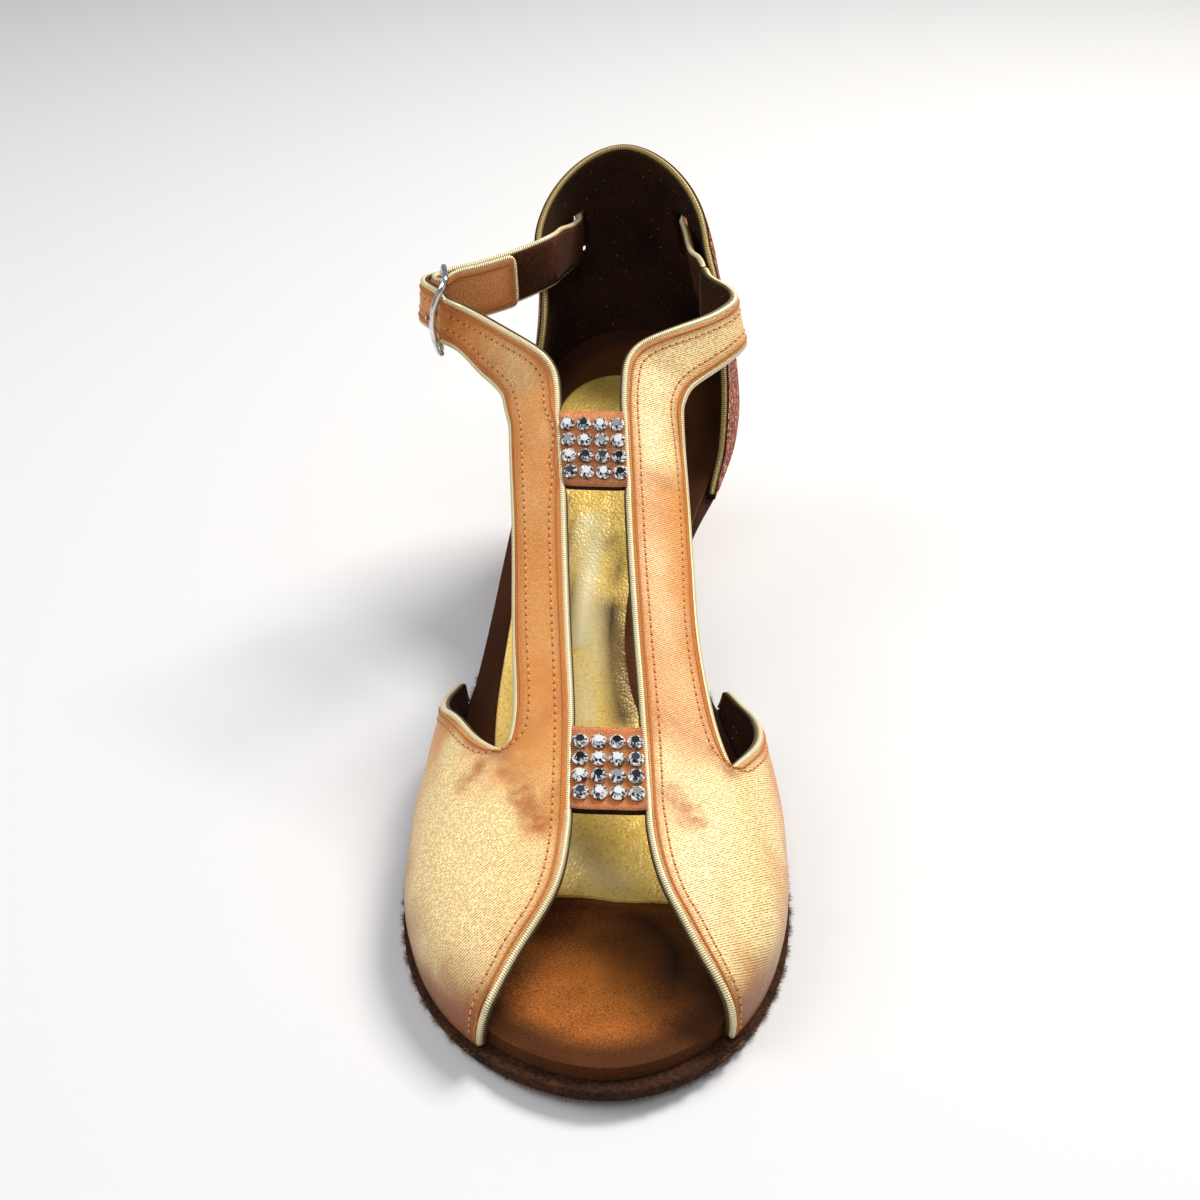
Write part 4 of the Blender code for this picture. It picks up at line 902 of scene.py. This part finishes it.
# %% [markdown]
# The upper: one sheet of satin backed with dark suede. Its solid is copied, its rims are creased so
# that they stay crisp, and Subdivision Surface rounds the rest. Then the two sides get their cloths.

# %% Upper
WALL = 1.8 * MM
PIPING = 0.74 * MM
BRIDGE_HALF = 7.4 * MM
BRIDGE_END = 68 * MM
SOLE_NEAR = 1.2 * MM
LONG_CHAIN = 60
ACROSS = 0.5

upper = take_copy("upper", "upper_dressed", LINING, UPPER_SATIN, BRIDGE_SATIN)
seam_at_rims(upper, degrees=60)
paint_side(upper, near=(-0.020, 0.03, 0.058), facing=(0, 0, 1), material_index=1)
paint_side(upper, near=(-0.0437, 0.1002, 0.0913), facing=(-0.8, 0.5, 0), material_index=1)
soften_inside(upper, 1)
lay_flat(upper)
smooth_form(upper, levels=2)

outsole_skin = surface_of(frame["nodes"]["outsole"])
upper_chains = [chain for chain in border_chains(upper, 1) if len(chain) > LONG_CHAIN]
print("edges of the upper", [len(chain) for chain in upper_chains])


def off_sole(point):
    """False where the edge lies on the outsole."""
    return outsole_skin.find_nearest(point[0])[3] > SOLE_NEAR


def off_bridges(point):
    """False on the front and back edges of the two crystal bridges."""
    place, _, inward = point
    across = abs(inward.normalized().y) > ACROSS
    return not (across and abs(place.x) < BRIDGE_HALF and place.y < BRIDGE_END)


edge_runs = []
for chain in upper_chains:
    edge_runs += runs_of(chain, lambda point: off_sole(point) and off_bridges(point))
print("runs along them", ends_in_mm(edge_runs))

# %% [markdown]
# The piped edge of each half of the upper runs on without a break, from the toe, past both bridges,
# round the wing and back to the sole. The bridges cut the border of the solid in two there, so the
# runs on each side of a bridge are joined again over the cloth.

# %% Piping lines of the upper
BRIDGE_REACH = 34 * MM
TRIMMED = 2
CORNER_LOOK = 7
STRAIGHT = 0.95
STEADY = 11 * MM
PIPING_SINK = 0.7
CORD_SINK = 0.85
CORD_OUT = 0.45 * MM
CORD_RADIUS = 0.5 * MM


def off_corner(run):
    """The run without the points at its start that turn into a corner."""
    run = run[TRIMMED:]
    while len(run) > 3 * CORNER_LOOK:
        here = (run[1][0] - run[0][0]).normalized()
        later = (run[CORNER_LOOK + 2][0] - run[CORNER_LOOK][0]).normalized()
        if here.dot(later) > STRAIGHT:
            break
        run = run[1:]
    return run


def join_runs(runs, surface):
    """Joins runs whose ends lie close on the same side of the shoe; new points lie on the skin."""
    lines = [off_corner(off_corner(run)[::-1])[::-1] for run in runs]
    while True:
        best = None
        for (a, one), (b, other) in combinations(enumerate(lines), 2):
            for first, second in product((one, one[::-1]), (other, other[::-1])):
                end, start = first[-1][0], second[0][0]
                span = (end - start).length
                fits = end.x * start.x > 0 and span < BRIDGE_REACH
                if fits and (best is None or span < best[0]):
                    best = (span, a, b, first, second)
        if best is None:
            return lines
        span, a, b, first, second = best
        steps = max(2, int(span / MM))
        middle = []
        for k in range(1, steps):
            share = k / steps
            spot, normal, _, _ = surface.find_nearest(first[-1][0].lerp(second[0][0], share))
            middle.append((spot, normal, first[-1][2].lerp(second[0][2], share)))
        lines[a] = first + middle + second
        del lines[b]


def steady_end(line):
    """The line with its first stretch drawn anew as one even bend, where it starts at the toe."""
    if line[0][0].y > 0:
        return line
    steady = next(k for k, point in enumerate(line) if (point[0] - line[0][0]).length > STEADY)
    last, normal, inward = line[steady]
    first = line[0][0]
    ahead = (last - line[steady + CORNER_LOOK][0]).normalized()
    pull = last + ahead * (last - first).length / 2
    bend = []
    for k in range(steady):
        share = k / steady
        bend.append((first.lerp(pull, share).lerp(pull.lerp(last, share), share), normal, inward))
    return bend + line[steady:]


upper_skin = skin_only(upper, {1})
upper_lines = [steady_end(steady_end(line)[::-1]) for line in join_runs(edge_runs, upper_skin)]
print("piped lines", [len(line) for line in upper_lines])
print("their ends", ends_in_mm(upper_lines))

piping_lines = [mid_wall(line, WALL * PIPING_SINK) for line in upper_lines]
dress(cord("upper_piping", piping_lines, PIPING, PALE_BRAID), "piping_gold")


def outer_cord(line, wall, outward):
    """Line of a second cord that lies lower and further out than the first."""
    moved = []
    for place, normal, inward in line:
        way = (inward - normal * inward.dot(normal)).normalized()
        moved.append(place - way * outward - normal * wall)
    return even_line(moved, PIPING_STEP, 4)


# A dark cord under the piping: painted shade on its lower side.
under_lines = [outer_cord(line, WALL * CORD_SINK, CORD_OUT) for line in upper_lines]
dress(cord("upper_under_cord", under_lines, CORD_RADIUS, DARK_BRAID, 8), "piping_gold")

# %% [markdown]
# Beside the piping runs a narrow orange fold of the cloth, whose darker tone is painted shade of the groove
# there, and 3.2 mm in a row of stitches holds the turned edge down. One stitch is modelled, a small rounded
# bar, and copied along the line. Where the thread goes down it pulls the cloth into a little hole, drawn as
# a flat copy between two bars, dark with painted shade.

# %% Welts and stitches of the upper
WELT_INSET = 1.3 * MM
WELT_RADIUS = 0.3 * MM
STITCH_INSET = 3.2 * MM
STITCH_PITCH = 1.9 * MM


def welt_lines(lines, surface, inset):
    """Lines of the fold beside the piping, on the cloth."""
    return [[spot for spot, _ in beside(line, surface, inset, PIPING_STEP)] for line in lines]


welts = welt_lines(upper_lines, upper_skin, WELT_INSET)
dress(cord("upper_welt", welts, WELT_RADIUS, WELT_SATIN, 8), "upper_satin")
sew("upper", [beside(line, upper_skin, STITCH_INSET, STITCH_PITCH) for line in upper_lines])

# %% [markdown]
# The bridges are cut from a redder, coarser twill. Strokes darken the vamp where the foot bends, with dirt
# and painted shade in its creases, darken the outer wing with painted shade, and lift the cloth with
# painted highlights; the insole and the gold sock get painted shade and highlights the same way. Each spot
# is placed where the photo shows it, by looking through the camera at the cloth. A spot is one soft stroke:
# from and to in the photo, its width in millimetres, and how strong it is.

# %% Bridges, dirt, painted shade and painted highlights
BRIDGE_SPANS = ((-30 * MM, -7 * MM), (45 * MM, 64 * MM))
INNER_REACH = 14 * MM
# Dirt and painted shade in the creases of the vamp, and painted shade on the outer wing.
CREASE_DIRT_AND_SHADE = (
    (500, 768, 534, 806, 2.2, 0.7),
    (520, 794, 538, 826, 3.4, 1.0),
    (540, 806, 556, 790, 2.0, 0.6),
    (462, 786, 482, 764, 2.6, 0.9),
    (478, 770, 508, 764, 2.2, 0.6),
    (520, 742, 560, 700, 4.5, 0.45),
    (672, 796, 696, 820, 3.4, 0.8),
    (684, 824, 700, 808, 2.2, 0.6),
    (712, 750, 728, 772, 2.6, 0.6),
    (660, 716, 700, 742, 4.5, 0.45),
    (640, 478, 672, 484, 3.6, 0.5),
    (655, 620, 690, 640, 6.0, 0.3),
    (452, 318, 500, 390, 9.0, 0.55),
    (500, 390, 520, 440, 6.0, 0.35),
    (470, 735, 520, 770, 3.2, 0.45),
    (506, 760, 536, 816, 3.4, 0.6),
)
# Painted shade on the folds of the gold sock.
SOCK_SHADE = (
    (566, 500, 572, 640, 2.4, 0.8),
    (612, 610, 626, 716, 4.2, 1.0),
    (598, 382, 622, 386, 9.0, 0.5),
    (616, 540, 622, 600, 2.0, 0.7),
)
# Painted highlights on the gold sock.
SOCK_LIGHT = (
    (592, 520, 586, 640, 2.4, 0.9),
    (590, 650, 584, 716, 2.4, 0.5),
    (560, 850, 610, 880, 5.0, 0.35),
)
# Painted shadow cast by the vamp on the insole.
INSOLE_SHADE = (
    (548, 906, 660, 914, 3.0, 0.6),
    (632, 920, 668, 936, 7.0, 0.9),
    (650, 936, 694, 984, 9.0, 1.0),
    (524, 950, 494, 1004, 2.6, 0.6),
)
# Painted highlights on the satin of the upper.
LIT = (
    (446, 800, 430, 930, 13, 1.0),
    (490, 820, 470, 950, 11, 0.95),
    (535, 850, 500, 930, 7, 0.7),
    (452, 745, 448, 775, 5, 0.8),
    (720, 800, 760, 930, 11, 1.0),
    (690, 850, 725, 960, 8, 0.8),
    (664, 760, 672, 840, 5, 0.6),
    (752, 760, 770, 830, 8, 0.9),
    (650, 390, 662, 450, 7, 0.9),
    (660, 370, 730, 330, 8, 0.85),
    (655, 560, 668, 620, 5, 0.3),
    (500, 350, 520, 380, 6, 0.4),
)


def seen_at(x, y, surface):
    """Where the camera sees the surface at one place of the photo."""
    camera = bpy.context.scene.camera.matrix_world
    across = x / PHOTO_WIDTH - 0.5
    above = 0.5 - y / PHOTO_WIDTH
    ray = Vector((across / FOCAL_SHARE, above / FOCAL_SHARE, -1))
    return surface.ray_cast(camera.translation, (camera.to_3x3() @ ray).normalized())[0]


def inner_line(sign):
    """How far out the inner piping of one half lies, for each y: two rows of numbers."""
    points = sorted((point[0].y, point[0].x) for line in upper_lines for point in line
                    if point[0].x * sign > 0 and abs(point[0].x) < INNER_REACH)
    return np.array(points).T


left_y, left_x = inner_line(-1)
right_y, right_x = inner_line(1)
for face in upper.data.polygons:
    x, y = face.center.x, face.center.y
    between_lines = np.interp(y, left_y, left_x) < x < np.interp(y, right_y, right_x)
    on_bridge = any(front < y < back for front, back in BRIDGE_SPANS)
    if face.material_index == 1 and on_bridge and between_lines:
        face.material_index = 2


def store_strokes(piece, name, strokes, surface):
    """Stores soft strokes on a piece: each runs between two places of the photo, found on the cloth."""
    values = np.zeros(len(piece.data.vertices))
    points = np.array([tuple(vert.co) for vert in piece.data.vertices])
    for x0, y0, x1, y1, width, strength in strokes:
        ends = [seen_at(x0, y0, surface), seen_at(x1, y1, surface)]
        if not all(ends):
            print("a stroke misses the cloth", x0, y0, x1, y1)
            continue
        start, way = np.array(ends[0]), np.array(ends[1] - ends[0])
        share = np.clip((points - start) @ way / (way @ way), 0, 1)
        away = np.linalg.norm(points - start - share[:, None] * way, axis=1)
        values = np.maximum(values, strength * np.exp(-(away / (width * MM)) ** 2))
    store_values(piece.data, name, values)


# Painted highlights on the upper.
store_strokes(upper, "bright", LIT, upper_skin)
# Dirt and painted shade in the creases, and painted shade on the outer wing.
store_strokes(upper, "dirt_and_shade", CREASE_DIRT_AND_SHADE, upper_skin)
store_distance(upper, "rim", [point[0] for line in upper_lines for point in line])
store_values(upper.data, "foot", [
    outsole_skin.find_nearest(vert.co)[3] for vert in upper.data.vertices])
dress(upper, "upper_satin", "upper")

# %% [markdown]
# The heel counter stands round the heel: glitter fabric outside, dark suede inside, and a cord
# along its rim. The strap goes through a slot on each side of it.

# %% Counter
COUNTER_WALL = 2.2 * MM
COUNTER_PIPING = 0.75 * MM
SLOT_LOOP = 30 * MM
SEAT_NEAR = 1.5 * MM

counter = take_copy("counter", "counter_dressed", LINING, GLITTER)
seam_at_rims(counter, degrees=50)
paint_side(counter, near=(0.003, 0.155, 0.075), facing=(0, 1, 0), material_index=1)
smooth_form(counter, levels=2)
insole_skin = surface_of(frame["nodes"]["insole"])


def long_chain(chain, reach):
    """True if a chain goes round more than a slot."""
    places = np.array([tuple(point[0]) for point in chain])
    return np.linalg.norm(places.max(0) - places.min(0)) > reach


def off_seat(point):
    """False where the edge lies on the insole or the outsole."""
    return insole_skin.find_nearest(point[0])[3] > SEAT_NEAR and off_sole(point)


counter_chains = [chain for chain in border_chains(counter, 1) if long_chain(chain, SLOT_LOOP)]
counter_runs = [run for chain in counter_chains for run in runs_of(chain, off_seat)]
print("counter runs", ends_in_mm(counter_runs))
counter_lines = [mid_wall(run, COUNTER_WALL, rounds=8) for run in counter_runs]
dress(cord("counter_piping", counter_lines, COUNTER_PIPING, RIM_BRAID), "piping_gold")
dress(counter, "glitter_fabric", "counter")

# %% [markdown]
# The ankle strap is one band of satin backed with suede. At the outer side it goes round the
# buckle's bar, is folded back on itself and sewn down, so that its satin shows on the inside there.

# %% Ankle strap
STRAP_WALL = 1.6 * MM
STRAP_PIPING = 0.72 * MM
STRAP_WELT_INSET = 1.2 * MM
STRAP_WELT_RADIUS = 0.34 * MM
STRAP_STITCH_INSET = 2.6 * MM
TO_TOE = -0.5

strap = take_copy("ankle_strap", "strap_dressed", STRAP_LINING, STRAP_SATIN)
seam_at_rims(strap, degrees=50)
paint_side(strap, near=(0.003, 0.1556, 0.095), facing=(0, 1, 0), material_index=1)
lay_flat(strap)
smooth_form(strap, levels=2)
strap_chains = [chain for chain in border_chains(strap, 1) if long_chain(chain, SLOT_LOOP)]
print("strap chains", [len(chain) for chain in strap_chains])
strap_skin = skin_only(strap, {1})
strap_lines = [mid_wall(chain + chain[:1], STRAP_WALL) for chain in strap_chains]
dress(cord("strap_piping", strap_lines, STRAP_PIPING, PALE_BRAID), "piping_gold")
strap_welts = welt_lines(strap_chains, strap_skin, STRAP_WELT_INSET)
dress(cord("strap_welt", strap_welts, STRAP_WELT_RADIUS, WELT_SATIN, 8), "upper_satin")


def faces_out(point):
    """False on the part that is folded back, whose satin looks at the toe."""
    return point[1].y > TO_TOE


sew("strap", [beside(run, strap_skin, STRAP_STITCH_INSET, STITCH_PITCH) for chain in strap_chains
              for run in runs_of(chain, faces_out)])
store_distance(strap, "rim", [point[0] for chain in strap_chains for point in chain])
dress(strap, "upper_satin", "ankle_strap")

# %% [markdown]
# The soles. A Bevel rounds the rim of the board where its suede is wrapped over the front, and the
# gold sock is thin leather with softly rounded edges, cut a little crooked at its front.

# %% Soles
CUT_REACH = 12 * MM
CUT_SLANT = 0.07
CUT_WAVER = 0.35 * MM
CUT_LENGTH = 2.6 * MM
RIM_ANGLE = math.radians(45)
UPRIGHT = 0.4


def soft_rim(node, name, width, segments, finish, slot, levels):
    """A node's form with its sharp rims rounded by a Bevel."""
    piece = take_copy(node, name, finish)
    seam_at_rims(piece, degrees=40)
    lay_flat(piece)
    smooth_form(piece, levels)
    apply_modifier(piece, "BEVEL", width=width, segments=segments, limit_method="ANGLE",
                   angle_limit=RIM_ANGLE)
    dress(piece, slot, node)
    return piece


def rim_places(piece):
    """Middles of the faces of a flat piece's rim."""
    return [face.center for face in piece.data.polygons if abs(face.normal.z) < UPRIGHT]


insole = soft_rim("insole", "insole_dressed", 1.1 * MM, 3, INSOLE_SUEDE, "insole_suede", 2)
store_distance(insole, "rim", rim_places(insole))
# Painted shadow of the vamp on the insole.
store_strokes(insole, "dirt_and_shade", INSOLE_SHADE, surface_of(insole))
sock = soft_rim("sock", "sock_dressed", 0.3 * MM, 2, GOLD_LEATHER, "gold_leather", 3)
sock_front = min(vert.co.y for vert in sock.data.vertices)
for vert in sock.data.vertices:
    share = max(0.0, 1.0 - (vert.co.y - sock_front) / CUT_REACH)
    vert.co.y -= share * (CUT_SLANT * vert.co.x + CUT_WAVER * math.sin(vert.co.x / CUT_LENGTH))
store_distance(sock, "rim", rim_places(sock))
sock_top = surface_of(sock)
# Painted shade and painted highlights on the gold sock.
store_strokes(sock, "dirt_and_shade", SOCK_SHADE, sock_top)
store_strokes(sock, "bright", SOCK_LIGHT, sock_top)
outsole = soft_rim("outsole", "outsole_dressed", 0.6 * MM, 2, SOLE_SUEDE, "sole_suede", 1)
soft_rim("heel", "heel_dressed", 0.4 * MM, 2, HEEL_SATIN, "heel_satin", 2)
soft_rim("heel_tip", "heel_tip_dressed", 0.4 * MM, 2, RUBBER, "tip_rubber", 1)

# %% [markdown]
# The sole's suede is brushed with wire, so its rim is furry. Short thin spikes stand off the faces of
# the rim, each with a lean of its own, most of them dark and some tan. None reaches into the floor.

# %% Fuzz on the outsole
FUZZ_COUNT = 2600
PALE_COUNT = 1500
FUZZ_LENGTH = (0.5 * MM, 1.5 * MM)
FUZZ_LEAN = 0.55
FUZZ_WIDE = 0.06 * MM
FUZZ_ROOT = 0.2 * MM
FUZZ_FLOOR = 0.1 * MM
FUZZ_END = 45 * MM
FUZZ_CORNERS = (0, 2.1, 4.2)
RIM_TILT = 0.6
UNDER_TILT = (-0.8, 0.1)


def fuzz(name, piece, count, seed, keep, material):
    """Short closed spikes that stand off a piece's faces."""
    chance = random.Random(seed)
    faces = [face for face in piece.data.polygons if keep(face)]
    areas = np.cumsum([face.area for face in faces])
    places, polygons = [], []
    for _ in range(count):
        face = faces[int(np.searchsorted(areas, chance.random() * areas[-1]))]
        corners = [piece.data.vertices[index].co for index in face.vertices]
        weights = [chance.random() for _ in corners]
        foot = sum((corner * weight for corner, weight in zip(corners, weights)), Vector()) / sum(weights)
        lean = Vector((chance.gauss(0, 1), chance.gauss(0, 1), chance.gauss(0, 0.6)))
        way = (face.normal + lean * FUZZ_LEAN).normalized()
        tip = foot + way * chance.uniform(*FUZZ_LENGTH)
        if tip.z < FUZZ_FLOOR:
            continue
        side = way.orthogonal().normalized()
        other = way.cross(side)
        start = len(places)
        root = foot - way * FUZZ_ROOT
        places += [root + (side * math.cos(turn) + other * math.sin(turn)) * FUZZ_WIDE
                   for turn in FUZZ_CORNERS]
        places.append(tip)
        polygons += [[start, start + 1, start + 3], [start + 1, start + 2, start + 3],
                     [start + 2, start, start + 3], [start + 2, start + 1, start]]
    return built_piece(name, places, polygons, material)


def on_rim(face):
    """True on the upright rim, up to the waist of the sole."""
    return abs(face.normal.z) < RIM_TILT and face.center.y < FUZZ_END


def under_rim(face):
    """True on the lower part of the rim and a little under it."""
    return UNDER_TILT[0] < face.normal.z < UNDER_TILT[1] and face.center.y < FUZZ_END


dress(fuzz("outsole_fuzz", outsole, FUZZ_COUNT, 3, on_rim, DARK_FIBRES), "sole_suede")
dress(fuzz("outsole_fuzz_pale", outsole, PALE_COUNT, 4, under_rim, TAN_FIBRES), "sole_suede")

# %% [markdown]
# The buckle is bent from chrome-plated wire, so its form only needs to be smooth.

# %% Buckle
for node in ("buckle_frame", "buckle_prong"):
    wire = take_copy(node, node + "_dressed", CHROME)
    smooth_form(wire, levels=2)
    dress(wire, "buckle_chrome", node)

# %% [markdown]
# One crystal is modelled: a low round girdle of sixteen sides, then two rings of slanting facets up to
# a flat table. The top face is extruded and shrunk once for each ring. The slanting faces are then cut
# into triangles, as real facets are. Each of the 32 solids gets a copy, at that solid's place and along
# its own upright, with its facets' greys drawn anew, because no two stones flash alike. The operators
# may list the facets in another order on each run, so the greys are dealt out by the facets' places.

# %% Crystals
STONE_WIDE = 3.6 * MM
STONE_HIGH = 1.3 * MM
GIRDLE_SIDES = 16
GIRDLE_SHARE = 0.25
RINGS = ((0.42, 0.80), (0.33, 0.62))
GREYS = (0.0, 0.1, 0.3, 0.5, 0.8, 1.0, 1.0)
FACES_UP = 0.9
SLANTS = (0.05, 0.95)


def choose_faces(piece, wanted):
    """Selects the faces of a piece in edit mode whose normal is as wanted."""
    bpy.ops.mesh.select_mode(type="FACE")
    bpy.ops.mesh.select_all(action="DESELECT")
    shape = bmesh.from_edit_mesh(piece.data)
    for face in shape.faces:
        face.select = wanted(face.normal)
    bmesh.update_edit_mesh(piece.data)


def model_stone():
    """One faceted stone on z = 0 with its table up."""
    bpy.ops.object.select_all(action="DESELECT")
    bpy.ops.mesh.primitive_cylinder_add(vertices=GIRDLE_SIDES, radius=STONE_WIDE / 2,
                                        depth=STONE_HIGH * GIRDLE_SHARE,
                                        location=(0, 0, STONE_HIGH * GIRDLE_SHARE / 2))
    stone = bpy.context.active_object
    bpy.ops.object.transform_apply(location=True, rotation=False, scale=False)
    bpy.ops.object.mode_set(mode="EDIT")
    choose_faces(stone, lambda normal: normal.z > FACES_UP)
    for rise, shrink in RINGS:
        step = {"value": (0, 0, STONE_HIGH * rise)}
        bpy.ops.mesh.extrude_region_move(TRANSFORM_OT_translate=step)
        bpy.ops.transform.resize(value=(shrink, shrink, 1))
    choose_faces(stone, lambda normal: SLANTS[0] < normal.z < SLANTS[1])
    bpy.ops.mesh.quads_convert_to_tris(quad_method="FIXED_ALTERNATE")
    bpy.ops.object.mode_set(mode="OBJECT")
    return stone


def solid_frame(node):
    """Middle of a solid's back, and the way up from it: its thinnest direction, towards its small end."""
    points = np.array([tuple(vert.co) for vert in frame["nodes"][node].data.vertices])
    middle = points.mean(0)
    _, _, ways = np.linalg.svd(points - middle, full_matrices=False)
    up = ways[2] if ways[2][2] > 0 else -ways[2]
    heights = (points - middle) @ up
    back = middle + up * heights.min()
    return Vector(back), Vector(up)


def by_place(mesh):
    """Numbers of a mesh's faces, in the order of where their middles are."""
    middles = [tuple(round(value / MM, 3) for value in face.center) for face in mesh.polygons]
    return sorted(range(len(middles)), key=lambda number: middles[number])


model = model_stone()
facets = by_place(model.data)
stone_nodes = sorted(name for name in frame["nodes"] if name.startswith("stone_"))
for node in stone_nodes:
    chance = random.Random(node)
    mesh = model.data.copy()
    greys = np.empty(len(facets))
    greys[facets] = [chance.choice(GREYS) for _ in facets]
    store_values(mesh, "facet", greys, "FACE")
    back, up = solid_frame(node)
    upright = up.to_track_quat("Z", "Y").to_matrix().to_4x4()
    turn = Matrix.Rotation(chance.uniform(0, math.pi), 4, "Z")
    mesh.transform(Matrix.Translation(back) @ upright @ turn)
    stone = new_piece(mesh, node.replace("stone", "crystal"), CRYSTAL)
    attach(stone, "root")
    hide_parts(node)
print(len(stone_nodes), "crystals of", len(model.data.polygons), "faces")
bpy.data.objects.remove(model, do_unlink=True)
